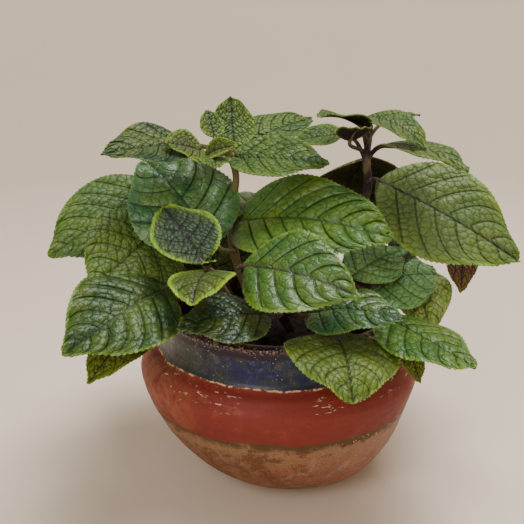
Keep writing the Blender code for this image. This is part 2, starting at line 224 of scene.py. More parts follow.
# A finish for a blade: its colour, how bright and wide its light rim is (youth), how purple its
# middle and midrib are, how glossy it is, and how dark purple its underside is, each from 0 to 1
Look = namedtuple("Look", "tone youth purple shine under")
LOOKS = {name: Look(paint(*tone), *shares) for name, tone, *shares in (
    ("mid", (66, 98, 36), 0.15, 0.05, 0.35, 0.3),
    ("crown", (80, 110, 48), 0.4, 0.3, 0.25, 0.4),
    ("back", (70, 100, 42), 0.08, 0.0, 0.25, 0.3),
    ("dark", (44, 88, 44), 0.12, 0.0, 1.0, 0.3),
    # The dark look lightened and made bluer, as painted sheen
    ("sheen", (66, 116, 66), 0.12, 0.0, 1.0, 0.3),
    # The mid look darkened, as painted shade on a top leaf that the light strikes strongly
    ("dusky", (36, 68, 32), 0.15, 0.05, 0.35, 0.3),
    ("deep", (30, 58, 20), 0.05, 0.0, 0.8, 0.9),
    # A much lighter tone: painted light and sky reflection on two low glossy leaves that lie in shade
    ("streaked", (124, 176, 104), 0.08, 0.0, 0.9, 0.4),
    ("olive", (76, 106, 42), 0.12, 0.0, 0.4, 0.4),
    ("fresh", (41, 77, 22), 0.4, 0.12, 0.65, 0.3),
    ("bright", (62, 106, 20), 0.4, 0.12, 0.65, 0.3),
    ("glossy", (74, 118, 36), 0.3, 0.0, 0.8, 0.3),
    ("pale", (98, 126, 60), 0.5, 0.5, 0.3, 0.4),
    # A much lighter tone: painted light on a leaf that lies in shade
    ("plain", (160, 184, 96), 0.1, 0.0, 0.2, 0.3),
    ("leaning", (88, 112, 30), 0.4, 0.25, 0.4, 0.3),
    ("heart", (38, 70, 36), 0.85, 1.0, 0.2, 0.6),
    ("young", (90, 106, 44), 0.6, 0.5, 0.4, 0.6),
    ("lime", (88, 112, 22), 1.0, 0.9, 0.5, 0.3),
    ("veined", (60, 104, 30), 0.4, 0.3, 0.9, 0.4),
    ("worn", (108, 126, 26), 0.3, 0.1, 0.2, 0.3),
    ("plum", (76, 104, 42), 0.15, 0.25, 0.3, 1.0),
    ("russet", (84, 88, 40), 0.1, 0.3, 0.2, 0.15),
    ("brown", (112, 74, 44), 0.0, 0.3, 0.2, 0.25),
)}

# A leaf's stalk leaves its stem at height node, and its blade spreads from base, all in mm from the
# plant's zero. azimuth is counted from +X, rise and roll are in degrees, and a positive roll lifts the
# left edge, seen from the base to the tip. arch is how far the midrib bows upward, and cup is how far
# the edges rise, as a share of the half width. look names the finish, and a lower fullness gives a
# blunter, rounder outline.
Leaf = namedtuple("Leaf", "node base azimuth rise length width roll arch cup look fullness",
                  defaults=(FULLNESS,))

LEFT_TALL = [
    Leaf(160, (-45, 6, 166), -140, 1, 49, 31, -27, 2, 0.1, "dusky", 1.1),
    Leaf(162, (-25, 10, 164), 96, 55, 27, 22, 0, -2, 0.15, "crown", 0.62),
    Leaf(162, (-34, 8, 169), 114, 52, 15, 12, 0, 0, 0.15, "crown", 0.62),
    Leaf(162, (-39, 4, 163), -136, 17, 24, 20, -40, 1, 0.1, "young"),
    Leaf(162, (-39, 1, 161), -38, 20, 22, 11, 50, 2, 0.3, "young"),
    Leaf(160, (-27, 4, 160), -20, 0, 49, 31, 28, 2, 0.1, "mid"),
    Leaf(162, (-22, 16, 164), 36, 12, 46, 26, 22, 2, 0.1, "back", 0.75),
    Leaf(162, (-34, 0, 161), -85, -5, 18, 15, 0, 2, -0.1, "crown"),
    Leaf(124, (-25, 5, 128), -28, 2, 81, 49, 35, 8, 0.1, "glossy", 0.64),
    Leaf(112, (-33, -18, 124), 137, 34, 60, 55, -25, 4, -0.1, "sheen", 0.72),
    Leaf(125, (-32, 18, 131), 130, 3, 50, 38, 0, 5, 0.0, "mid"),
    Leaf(118, (-19, 16, 126), 66, 3, 48, 36, 0, 5, 0.0, "dark"),
]
FRONT_LEFT = [
    Leaf(112, (-37, -42, 122), 127, 29, 39, 32, -14, 2, 0.1, "heart"),
    Leaf(112, (-34, -43, 119), -104, -14, 27, 30, 8, 4, 0.0, "lime", 0.75),
    Leaf(116, (-36, -42, 121), -60, 30, 8, 6, 0, 0, 0.2, "lime"),
]
CENTRE = [
    Leaf(105, (-20, -37, 119), -31, -4, 58, 43, 38, 6, 0.0, "veined", 1.05),
    Leaf(90, (-8, -46, 99), -159, 0, 42, 36, -16, 4, -0.1, "deep"),
    Leaf(92, (9, -40, 97), -33, 9, 46, 32, 18, 5, -0.1, "dark", 0.78),
    Leaf(88, (20, -46, 91), -84, -15, 46, 50, -8, 6, -0.1, "leaning", 0.78),
]
RIGHT_LOW = [
    Leaf(99, (30, -18, 107), 37, 12, 34, 30, 26, 3, 0.1, "streaked"),
    Leaf(98, (38, -11, 100), 10, 6, 37, 40, 30, 4, 0.0, "streaked", 0.68),
    Leaf(98, (62, 14, 102), -82, -24, 46, 34, 0, 4, 0.0, "plain"),
    Leaf(92, (43, -34, 95), -50, -9, 53, 38, 1, 1, -0.12, "bright", 0.78),
    Leaf(95, (51, -32, 87), -58, -50, 27, 16, 0, 2, 0.0, "worn"),
    Leaf(98, (88, 8, 118), -100, -42, 30, 16, 0, 3, 0.0, "brown"),
]
RIGHT_TALL = [
    Leaf(145, (44, 0, 150), -21, -26, 75, 51, 46, 4, 0.0, "pale"),
    Leaf(157, (46, 0, 167), -45, -8, 46, 26, 2, 4, 0.05, "plum"),
    Leaf(160, (38, 0, 180), -40, -20, 33, 22, 10, 4, 0.1, "plum"),
    Leaf(158, (37, 0, 175), -140, 14, 32, 22, 0, 3, 0.1, "plum"),
    Leaf(160, (29, -6, 170), -82, 24, 20, 16, 0, 2, 0.1, "plum"),
    Leaf(168, (51, 14, 178), 23, 0, 16, 12, 0, 1, 0.1, "plum"),
    Leaf(156, (27, 6, 171), 172, -10, 25, 20, -22, 1, 0.1, "crown"),
    Leaf(152, (40, 16, 158), 100, -42, 50, 48, 0, 4, -0.2, "russet"),
    Leaf(122, (36, 22, 130), 14, -2, 54, 40, 0, 5, 0.0, "deep"),
]
LEFT_LOW = [
    Leaf(128, (-63, 12, 145), -143, -24, 64, 44, -34, 2, 0.0, "olive"),
    Leaf(118, (-60, 20, 124), 122, -2, 46, 38, 0, 5, 0.0, "mid"),
    Leaf(118, (-59, -2, 128), -124, -20, 52, 48, -40, 2, 0.0, "olive", 0.75),
    Leaf(102, (-54, -31, 108), -131, -14, 61, 50, -26, 4, 0.0, "fresh", 0.95),
    Leaf(96, (-63, -34, 92), -127, -24, 42, 27, -10, 4, 0.0, "worn"),
]
BACK_MID = [
    Leaf(105, (16, 44, 109), 20, 2, 48, 36, 0, 4, 0.0, "mid"),
    Leaf(105, (-12, 47, 112), 158, 4, 48, 36, 0, 5, 0.0, "dark"),
    Leaf(112, (2, 56, 117), 88, -8, 55, 46, 0, 6, 0.0, "fresh"),
    Leaf(95, (8, 52, 97), 78, -22, 52, 42, 0, 6, 0.0, "mid"),
]
BACK_LEFT = [
    Leaf(103, (-54, 34, 107), 165, 0, 46, 38, 0, 5, 0.0, "mid"),
    Leaf(103, (-44, 48, 106), 118, -6, 50, 40, 0, 5, 0.0, "fresh"),
    Leaf(90, (-58, 22, 94), 190, -18, 37, 30, 0, 5, 0.0, "olive"),
    # This leaf fills the dark interior behind the left leaves, and its darkest look is painted shade there
    Leaf(88, (-36, 14, 94), 96, 62, 37, 42, 0, 4, 0.0, "deep"),
]
BACK_RIGHT = [
    Leaf(102, (58, 34, 105), 28, -2, 46, 38, 0, 5, 0.0, "mid"),
    Leaf(102, (46, 48, 105), 68, -8, 50, 38, 0, 5, 0.0, "dark"),
    Leaf(92, (54, 32, 90), 36, -26, 37, 30, 0, 5, 0.0, "mid"),
]

# A stem's route in mm, from the soil up, its leaves, the colour of its skin and its material slot
Stem = namedtuple("Stem", "route leaves skin slot", defaults=("foliage",))
STEMS = {
    "stem_left_tall": Stem([(-16, 4, 80), (-20, 4, 95), (-25, 3, 112), (-27, 5, 131), (-24, 5, 150),
                            (-28, 5, 164)], LEFT_TALL, paint(104, 98, 56)),
    "stem_front_left": Stem([(-24, -22, 80), (-26, -25, 96), (-32, -36, 112), (-35, -40, 118)],
                            FRONT_LEFT, paint(84, 58, 52), "young_foliage"),
    "stem_centre": Stem([(2, -16, 80), (-4, -20, 92), (-16, -20, 104), (-20, -20, 114)],
                        CENTRE, paint(62, 38, 42)),
    "stem_right_low": Stem([(30, -16, 80), (33, -18, 90), (38, -16, 101)],
                           RIGHT_LOW, paint(62, 42, 38)),
    "stem_right_tall": Stem([(26, 14, 80), (33, 14, 110), (40, 9, 142), (39, 8, 158), (40, 8, 175)],
                            RIGHT_TALL, paint(46, 28, 36)),
    "stem_left_low": Stem([(-38, -6, 80), (-46, -8, 96), (-53, -4, 112), (-60, 8, 132)],
                          LEFT_LOW, paint(92, 78, 50)),
    "stem_back_mid": Stem([(2, 30, 80), (3, 38, 97), (3, 44, 114)], BACK_MID, paint(84, 74, 48)),
    "stem_back_left": Stem([(-27, 23, 80), (-36, 30, 94), (-42, 37, 105)],
                           BACK_LEFT, paint(74, 54, 44)),
    "stem_back_right": Stem([(28, 32, 80), (38, 35, 94), (45, 38, 105)],
                            BACK_RIGHT, paint(70, 50, 44)),
}


def count(name, description, default, low, high):
    """Setting for a whole number."""
    return bpy.props.IntProperty(name=name, description=description, default=default, min=low, max=high)


def number(name, description, default, low, high, **kind):
    """Setting for a number, such as a share or a length."""
    return bpy.props.FloatProperty(name=name, description=description, default=default, min=low, max=high,
                                   **kind)


def metres(name, description, default):
    """Setting for a length in metres."""
    return bpy.props.FloatProperty(name=name, description=description, default=default, unit="LENGTH")


def tint(name, description, *shades):
    """Setting for a colour, given from 0 to 255."""
    return bpy.props.FloatVectorProperty(name=name, description=description, subtype="COLOR",
                                         default=paint(*shades)[:3], min=0.0, max=1.0)


class PotSettings(bpy.types.PropertyGroup):
    """Sizes and glaze colours of the bowl pot."""

    sides: count("Sides", "How many sides the turned bowl has", 160, 48, 320)
    lump: number("Lumps", "How far the hand-made wall bulges in and out", 0.0005, 0.0, 0.002, unit="LENGTH")
    clay: tint("Lower glaze", "Main colour of the lower body", 136, 86, 60)
    red: tint("Red band", "Main colour of the red band", 124, 45, 34)
    blue: tint("Blue band", "Cobalt of the upper band", 10, 18, 76)
    lower_edge: metres("Red band foot", "Height where the red band starts", 0.045)
    upper_edge: metres("Red band top", "Height where the blue band starts", 0.069)


class SoilSettings(bpy.types.PropertyGroup):
    """Grain of the potting soil."""

    rings: count("Rings", "How finely the soil's surface is divided", 46, 12, 90)
    rough: metres("Roughness", "Height of the soil's clods", 0.0016)
    crumbs: count("Crumbs", "How many loose crumbs lie on top", 260, 0, 600)


class LeafSettings(bpy.types.PropertyGroup):
    """Fine shape of the blades."""

    rows_per_mm: number("Rows per mm", "Mesh rows along each mm of a blade", 2.4, 0.5, 3.0)
    thickness: metres("Thickness", "Thickness of a blade", 0.00055)
    sweep: number("Vein sweep", "How far side veins run forward to the edge", 0.45, 0.1, 0.5,
                  subtype="FACTOR")
    puff: number("Puff", "Rise of the fields between side veins, as a share of the length", 0.02, 0.0, 0.03,
                 subtype="FACTOR")
    groove: metres("Midrib groove", "Depth of the groove along the midrib", 0.0007)
    tooth: metres("Tooth depth", "Depth of the teeth of a full-grown blade", 0.0007)
    tooth_pitch: metres("Tooth pitch", "Spacing of the teeth of a full-grown blade", 0.0025)


class HairSettings(bpy.types.PropertyGroup):
    """Short hairs along the edges and stalks."""

    length: metres("Length", "Length of the longest hairs", 0.0009)
    radius: metres("Radius", "Radius of a hair at its root", 0.00004)
    per_mm: number("Hairs per mm", "Hairs along each mm of a leaf's edge", 1.6, 0.0, 4.0)


class StageSettings(bpy.types.PropertyGroup):
    """Camera and floor."""

    lens: bpy.props.FloatProperty(
        name="Lens", description="Focal length of the camera", default=54.96, subtype="DISTANCE_CAMERA")
    camera_place: bpy.props.FloatVectorProperty(
        name="Camera place", description="Where the camera stands", default=(-0.0165, -0.375, 0.230),
        subtype="TRANSLATION", unit="LENGTH")
    camera_tilt: bpy.props.FloatProperty(
        name="Camera tilt", description="Turn of the camera up from straight down",
        default=math.radians(72.1), subtype="ANGLE")
    floor: tint("Floor", "Colour of the plain floor and backdrop", 226, 211, 192)


def pick(*pieces):
    """Select these objects alone, with the first one active."""
    bpy.ops.object.select_all(action="DESELECT")
    for piece in pieces:
        piece.select_set(True)
    bpy.context.view_layer.objects.active = pieces[0]


def named(piece, name):
    """Name an object and its mesh or curve."""
    piece.name = name
    piece.data.name = name
    return piece


def added(name, data):
    """New object in the scene with this mesh or curve."""
    piece = bpy.data.objects.new(name, data)
    bpy.context.scene.collection.objects.link(piece)
    return piece


def hand_over(piece, slot, *nodes):
    """Declare a finished piece: it rides on the only body and stands for these CAD nodes."""
    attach(piece, BODY)
    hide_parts(*nodes)


def close_up(piece, outward=True):
    """Merge a piece's double points, and point its faces outward unless it is still an open sheet."""
    pick(piece)
    bpy.ops.object.mode_set(mode="EDIT")
    bpy.ops.mesh.select_all(action="SELECT")
    bpy.ops.mesh.remove_doubles(threshold=MERGE)
    if outward:
        bpy.ops.mesh.normals_make_consistent(inside=False)
    bpy.ops.object.mode_set(mode="OBJECT")


def smooth(piece, degrees=40.0):
    """Shade a piece smooth, with the folds sharper than this kept."""
    pick(piece)
    bpy.ops.object.shade_smooth_by_angle(angle=math.radians(degrees))


def coordinates(piece):
    """Points of a mesh piece as an array."""
    flat = np.empty(len(piece.data.vertices) * 3)
    piece.data.vertices.foreach_get("co", flat)
    return flat.reshape(-1, 3)


def move_points(piece, points):
    """Give a mesh piece these points."""
    piece.data.vertices.foreach_set("co", np.asarray(points, dtype=float).ravel())
    piece.data.update()


def handmade(points):
    """Shift points of the pot or the soil, in mm, as a pot shaped by hand is never quite round."""
    x, y, z = points.T
    lift = np.sin(0.5 * np.pi * np.clip(z / SWAY_HEIGHT, 0.0, 1.0))
    swell = 1.0 + OUT_OF_ROUND * lift * np.cos(2.0 * np.arctan2(y, x) + OVAL_TURN)
    return np.column_stack((x * swell + SWAY * lift, y * swell, z))


def lumps(points, layers):
    """Smooth unevenness at points in mm, the sum of layers of noise."""
    total = np.zeros(len(points))
    for size, seed, height in layers:
        start = Vector((seed, 0.0, 0.0))
        total += height * np.array([noise.noise(Vector(point) / size + start) for point in points])
    return total


def ease(value, low, high):
    """Smooth step from 0 at low to 1 at high."""
    share = np.clip((value - low) / (high - low), 0.0, 1.0)
    return share * share * (3.0 - 2.0 * share)


def unit(vectors):
    """Rows of vectors, each brought to length 1."""
    return vectors / np.maximum(np.linalg.norm(vectors, axis=1, keepdims=True), 1e-9)


def run_along(points):
    """Distance along a line from its first point to each of its points."""
    return np.concatenate(([0.0], np.cumsum(np.linalg.norm(np.diff(points, axis=0), axis=1))))


def rows_at(places, marks, rows):
    """Rows of numbers at places between marks, where one row is given for each mark."""
    return np.column_stack([np.interp(places, marks, column) for column in rows.T])


def smooth_line(points, steps):
    """Smooth curve through points, with this many steps between each two."""
    points = [np.array(point, dtype=float) for point in points]
    padded = [2 * points[0] - points[1]] + points + [2 * points[-1] - points[-2]]
    line = []
    for before, near, far, after in zip(padded, padded[1:], padded[2:], padded[3:]):
        bend = 2 * before - 5 * near + 4 * far - after
        twist = 3 * near - before - 3 * far + after
        for share in np.arange(steps) / steps:
            line.append(0.5 * (2 * near + (far - before) * share + bend * share ** 2
                               + twist * share ** 3))
    return line + [points[-1]]


def outer_radius(height):
    """Radius of the pot's outer side at a height, in mm."""
    radii, heights = zip(*POT_OUTER)
    return float(np.interp(height, heights, radii))


def turn_up(name, profile, sides, extrude=bpy.ops.mesh.extrude_region_move):
    """Turned form: a filled circle that is extruded and resized from ring to ring, in mm."""
    radius, height = profile[0]
    bpy.ops.object.select_all(action="DESELECT")
    bpy.ops.mesh.primitive_circle_add(vertices=sides, radius=radius * MM, fill_type="NGON",
                                      location=(0, 0, height * MM))
    piece = named(bpy.context.object, name)
    bpy.ops.object.transform_apply(location=True, rotation=True, scale=True)
    bpy.ops.object.mode_set(mode="EDIT")
    bpy.ops.mesh.select_all(action="SELECT")
    for (old_radius, old_height), (new_radius, new_height) in zip(profile, profile[1:]):
        extrude(TRANSFORM_OT_translate={"value": (0, 0, (new_height - old_height) * MM)})
        grow = new_radius / old_radius
        bpy.ops.transform.resize(value=(grow, grow, 1.0))
    bpy.ops.object.mode_set(mode="OBJECT")
    return piece


class Value:
    """Output of a node in a material. Arithmetic with it adds the nodes that work the result out."""

    def __init__(self, coat, socket):
        self.coat = coat
        self.socket = socket

    def math(self, operation, *others):
        """One step of arithmetic that starts from this value."""
        return self.coat.node("Math", enumerate((self, *others)), operation=operation)

    def __add__(self, other):
        return self.math("ADD", other)

    def __sub__(self, other):
        return self.math("SUBTRACT", other)

    def __rsub__(self, other):
        return self.coat.node("Math", enumerate((other, self)), operation="SUBTRACT")

    def __mul__(self, other):
        return self.math("MULTIPLY", other)

    def __abs__(self):
        return self.math("ABSOLUTE")

    def step(self, low, high, start=0.0, end=1.0):
        """Smooth step from start, where this value is low, to end, where it is high."""
        return self.coat.node("MapRange", enumerate((self, low, high, start, end)),
                              interpolation_type="SMOOTHSTEP")

    def shade(self, share):
        """This colour made darker or lighter by a factor."""
        return self.coat.node("VectorMath", ((0, self), ("Scale", share)), operation="SCALE")

    def bump(self):
        """Relief from this height, in mm."""
        return self.coat.node("Bump", (("Height", self), ("Distance", MM), ("Strength", 1.0)))

    def parts(self):
        """The three parts of this vector or colour."""
        first = self.coat.node("SeparateXYZ", ((0, self),))
        return [Value(self.coat, output) for output in first.socket.node.outputs]


class Coat:
    """A procedural material as it is made: short calls that add its nodes and link them."""

    def __init__(self, name):
        self.material = bpy.data.materials.new(name)
        self.material.use_nodes = True
        self.tree = self.material.node_tree
        self.place = self.node("TexCoord", (), "Object")

    def node(self, kind, feeds, output=0, **settings):
        """Add a node, set it up, feed its numbered or named inputs, and hand back one of its outputs."""
        node = self.tree.nodes.new("ShaderNode" + kind)
        for name, setting in settings.items():
            setattr(node, name, setting)
        for key, value in feeds:
            self.feed(node.inputs[key], value)
        return Value(self, node.outputs[output])

    def feed(self, socket, value):
        """Link a value to a socket, or set a plain number or colour on it."""
        if isinstance(value, Value):
            self.tree.links.new(value.socket, socket)
        else:
            socket.default_value = value

    def finish(self, **sockets):
        """Feed sockets of the shader, with the spaces in their names written as underscores."""
        shader = self.tree.nodes["Principled BSDF"]
        for name, value in sockets.items():
            self.feed(shader.inputs[name.replace("_", " ")], value)
        return self.material

    def noise(self, scale, detail=3.0, roughness=0.5, distortion=0.0, place=None):
        """Cloudy noise from 0 to 1."""
        return self.node("TexNoise", (("Vector", place or self.place), ("Scale", scale),
                                      ("Detail", detail), ("Roughness", roughness),
                                      ("Distortion", distortion)))

    def stretched(self, scales, detail, roughness=0.5):
        """Noise with a scale of its own along each axis."""
        place = self.node("VectorMath", enumerate((self.place, scales)), operation="MULTIPLY")
        return self.noise(1.0, detail, roughness, place=place)

    def cells(self, scale, place=None, feature="DISTANCE_TO_EDGE", randomness=1.0):
        """Distance to the edge or middle of a cell, on a flat map where a place on one is given."""
        return self.node("TexVoronoi", (("Vector", place or self.place), ("Scale", scale),
                                        ("Randomness", randomness)), "Distance",
                         voronoi_dimensions="2D" if place else "3D", feature=feature)

    def mix(self, share, first, second):
        """Colour between two colours."""
        return self.node("Mix", ((0, share), (6, first), (7, second)), 2, data_type="RGBA",
                         clamp_factor=True)

    def layers(self, colour, *coats):
        """Colour with further layers over it, each given as its share and its screen colour."""
        for share, shades in coats:
            colour = self.mix(share, colour, paint(*shades))
        return colour

    def vector(self, *parts):
        """Vector from its parts."""
        return self.node("CombineXYZ", enumerate(parts))

    def map(self, name):
        """The two parts of a piece's own map of the surface."""
        return self.node("UVMap", (), uv_map=name).parts()[:2]

    def stored(self, name, output="Fac"):
        """A value or colour that the piece keeps at its points."""
        return self.node("Attribute", (), output, attribute_name=name)


def pot_glaze_coat(settings):
    """Banded glaze: grainy clay body, satin brick-red band, mottled dark blue band and plum lip, partly
    painted light and shade.
    """
    coat = Coat("banded_glaze")
    x, y, z = coat.place.parts()
    height = z * (1.0 / MM)
    broad = coat.noise(28.0, 2.0) - 0.5
    ragged = coat.noise(170.0, 4.0, 0.65)
    fine = coat.noise(900.0, 4.0, 0.6)
    grit = coat.noise(1700.0, 3.0, 0.7)
    blotch = coat.noise(80.0, 6.0, 0.75, 0.5)
    stain = coat.noise(210.0, 5.0, 0.7, 0.6)
    streaks = coat.stretched((40.0, 40.0, 420.0), 4.0, 0.6)
    dashes = coat.stretched((170.0, 170.0, 900.0), 3.0, 0.7)
    loops = coat.noise(1.0, 2.0, place=coat.vector(x * 75.0, y * 75.0, 3.0))
    seam = height + broad * 9.0 + (ragged - 0.5) * 2.4 - settings.lower_edge / MM
    upper = height + broad * 3.0 + (ragged - 0.5) * 2.0 - settings.upper_edge / MM
    lip = height + loops * 8.0 - RIM
    top = upper.step(-0.3, 0.3)

    # Orange-brown towards the foot and on the left side; on the left it is partly painted shade
    foot_and_shaded_left = height.step(30.0, 4.0) * 0.6 + x.step(0.0, -0.05) * 0.4
    body = coat.layers(
        (*settings.clay, 1.0),
        (blotch.step(0.46, 0.56), (100, 60, 34)),
        (coat.noise(130.0, 6.0, 0.75).step(0.52, 0.62), (142, 108, 92)),
        (foot_and_shaded_left * blotch.step(0.40, 0.54), (124, 68, 32)),
        # Painted shade: the body darker on its left side
        (x.step(0.01, -0.04) * 0.45, (84, 52, 26)),
        (height.step(24.0, 40.0) * blotch.step(0.58, 0.48) * 0.7, (134, 104, 74)),
        # Pale mauve patches on the right side: mauve glaze, lightened as painted light on the lit side
        (x.step(-0.01, 0.045) * blotch.step(0.42, 0.56) * 0.65, (164, 122, 104)),
        (grit.step(0.55, 0.66) * 0.7, (72, 44, 32)),
        (grit.step(0.43, 0.34) * 0.5, (182, 146, 124)))
    band = coat.layers(
        (*settings.red, 1.0),
        (streaks.step(0.42, 0.66) * 0.5, (112, 42, 34)),
        (coat.noise(90.0, 4.0, 0.65).step(0.54, 0.68) * 0.6, (148, 68, 52)),
        (fine.step(0.60, 0.70) * 0.7, (88, 34, 28)),
        # Painted shade: the red band darker towards its foot, round the belly
        (height.step(62.0, 52.0) * 0.35, (98, 30, 20)),
        # Painted sheen: lighter tan patches towards the band's left and right sides
        (abs(x).step(0.040, 0.066) * blotch.step(0.40, 0.58) * 0.6, (154, 98, 62)))
    blue = coat.layers(
        (*settings.blue, 1.0),
        (coat.noise(85.0, 5.0, 0.65, 0.8).step(0.44, 0.56), (28, 42, 58)),
        (coat.noise(120.0, 4.0, 0.6, 0.5).step(0.54, 0.64), (58, 50, 38)),
        (coat.noise(60.0, 3.0, distortion=1.2).step(0.57, 0.66), (16, 18, 40)),
        (x.step(-0.02, -0.05) * 0.75, (52, 54, 30)),
        (stain.step(0.53, 0.64) * 0.5, (78, 82, 80)),
        (stain.step(0.46, 0.38) * 0.8, (6, 10, 34)),
        ((height + ragged * 5.0).step(77.0, 72.5) * 0.6, (40, 48, 54)))

    worn = (seam + (blotch - 0.5) * 18.0).step(-5.6, -1.6) * seam.step(0.9, 0.1)
    specks = seam.step(-5.5, -2.5) * seam.step(-0.5, -1.5) * coat.noise(620.0).step(0.60, 0.66)
    lower = coat.layers(
        coat.mix(seam.step(-0.5, 0.5), body, band),
        (worn * ragged.step(0.26, 0.44), (82, 56, 32)),
        (specks * x.step(0.0, 0.03), (186, 156, 108)))
    rim_line = upper.step(-0.7, -0.4) * upper.step(0.2, 0.0) * coat.noise(420.0).step(0.46, 0.54)
    chips = dashes.step(0.61, 0.64) * upper.step(-10.0, -6.5) * upper.step(-1.0, -3.0)
    chips = chips * coat.noise(34.0, 2.0).step(0.46, 0.54)
    glints = coat.noise(1300.0, 2.0).step(0.68, 0.73) * top * coat.noise(60.0, 2.0).step(0.46, 0.56)
    colour = coat.layers(
        coat.mix(top, lower, blue),
        (rim_line, (196, 166, 118)),
        (chips, (208, 190, 156)),
        (lip.step(-0.6, 0.4), (30, 14, 34)),
        (lip.step(1.8, 4.2) * fine.step(0.50, 0.60), (136, 112, 76)),
        (glints, (196, 200, 200)))

    pits = coat.cells(420.0, feature="F1").step(0.05, 0.22)
    relief = (ragged * 0.30 + fine * 0.12 + pits * 0.08 + top * 0.25 + streaks * 0.05 + grit * 0.06
              - chips * 0.2)
    return coat.finish(Base_Color=colour, Roughness=0.56 - top * 0.26 + ragged.step(0.4, 0.7) * 0.10,
                       Normal=relief.bump(), Specular_IOR_Level=0.25, Coat_Weight=top * 0.09 + 0.03,
                       Coat_Roughness=0.1)


def inner_glaze_coat():
    """Tan and gold crackled glaze of the pot's inner side, with white specks as painted glints."""
    coat = Coat("inner_glaze")
    crackle = coat.cells(260.0)
    speck = coat.noise(420.0, roughness=0.6)
    colour = coat.layers(paint(128, 96, 58), (coat.noise(70.0).step(0.35, 0.65), (78, 60, 66)),
                         (crackle.step(0.09, 0.02), (60, 42, 34)),
                         # Painted glints: small white specks
                         (speck.step(0.62, 0.70), (206, 196, 172)))
    relief = crackle.step(0.0, 0.1) * 0.1 + speck * 0.15
    return coat.finish(Base_Color=colour, Roughness=speck.step(0.3, 0.7, 0.2, 0.4), Normal=relief.bump(),
                       Coat_Weight=0.3, Coat_Roughness=0.1)


def soil_coat():
    """Moist dark potting soil with paler fibres."""
    coat = Coat("moist_soil")
    clods = coat.cells(420.0, feature="F1")
    grain = coat.noise(900.0, 5.0, 0.7)
    fibre = coat.stretched((260.0, 1500.0, 0.0), 3.0)
    colour = coat.layers(paint(20, 15, 12), (grain.step(0.35, 0.65), (52, 38, 28)),
                         (fibre.step(0.66, 0.72), (104, 82, 58)))
    relief = grain * 0.8 - clods.step(0.0, 0.6) * 0.8
    return coat.finish(Base_Color=colour, Roughness=grain.step(0.3, 0.7, 0.75, 0.98),
                       Normal=relief.bump())


def leaf_face_coat():
    """Upper side of a blade: puffed cells between veins, a light rim, and a purple middle when young, with
    painted shade in its creases and vein grooves.
    """
    coat = Coat("leaf_face")
    youth, purple, shine = coat.stored("look", "Color").parts()
    tone = coat.stored("tone", "Color")
    edge = coat.stored("edge")
    rung, phase = coat.map("veins")
    beside, along = coat.map("net")
    side_vein = phase.math("PINGPONG", 0.5).step(0.065, 0.012) * edge.step(0.3, 2.4)
    midrib = abs(beside).step(0.8, 0.2) * edge.step(0.1, 2.2)

    stray = (coat.noise(330.0, 2.0) - 0.5) * 0.7
    lane = phase * (2.4 - shine * 0.8) + beside.math("SIGN") * HALF_SHIFT + stray
    spot = coat.vector(rung + stray, lane)
    off_middle = coat.cells(1.0, spot, "F1", 0.8)
    grain = coat.noise(2400.0, 2.0)
    block_top = coat.cells(1.0, spot, randomness=0.8).step(0.0, 0.18)
    dome = off_middle * off_middle * -1.0
    bead_top = coat.cells(0.62, coat.vector(beside, along), randomness=0.9).step(0.0, 0.34)

    cloud = coat.noise(60.0)
    blush = coat.noise(150.0, roughness=0.6)
    skin = coat.mix(cloud.step(0.35, 0.7), tone.shade(0.84), coat.mix(0.25, tone, paint(138, 150, 30)))
    # Darker towards the edges of the cells and beads: dark cross veins, and painted shade in the creases
    # between the puffs, with painted light on their tops
    skin = skin.shade(block_top * 0.30 + 0.63 + bead_top * 0.11)
    heart = coat.mix(0.25, tone.shade(0.52), paint(34, 26, 36))
    skin = coat.mix(purple * (edge + blush * 3.0).step(1.5, 10.0) * 0.85, skin, heart)
    # Side veins and midrib: purple pigment on purple blades, and a dark tone that is painted shade in their
    # grooves
    vein_shade_tint = coat.mix(purple, tone.shade(0.26), paint(30, 18, 24))
    rib_shade_tint = coat.mix(purple * 1.8, tone.shade(0.36), paint(42, 22, 32))
    skin = coat.mix(side_vein * (0.78 - youth * 0.4), skin, vein_shade_tint)
    skin = coat.mix(midrib * 0.85, skin, rib_shade_tint)
    rim = edge.step(youth * 2.0 + 0.3 + blush * 1.6, -0.4)
    rim_tint = coat.mix(youth, paint(98, 134, 40), paint(146, 186, 30))
    skin = coat.mix(rim * (youth * 0.5 + 0.35), skin, rim_tint)
    flecks = coat.noise(900.0, 2.0).step(0.70, 0.76) * cloud.step(0.50, 0.62)
    skin = coat.layers(skin, (flecks * 0.6, (92, 62, 34)))

    puffed = dome * (1.7 - shine * 0.8 - purple * purple * 0.6)
    relief = puffed + block_top * 0.12 + bead_top * 0.10 + grain * 0.03 - side_vein * 0.45
    gentle = dome * 0.55 + bead_top * 0.04 - side_vein * 0.35
    return coat.finish(Base_Color=skin, Roughness=0.58 - shine * 0.14 + grain * 0.06 + side_vein * 0.1,
                       Normal=relief.bump(), Specular_IOR_Level=0.25, Coat_Weight=shine * 0.42,
                       Coat_Roughness=0.27, Coat_Normal=gentle.bump())


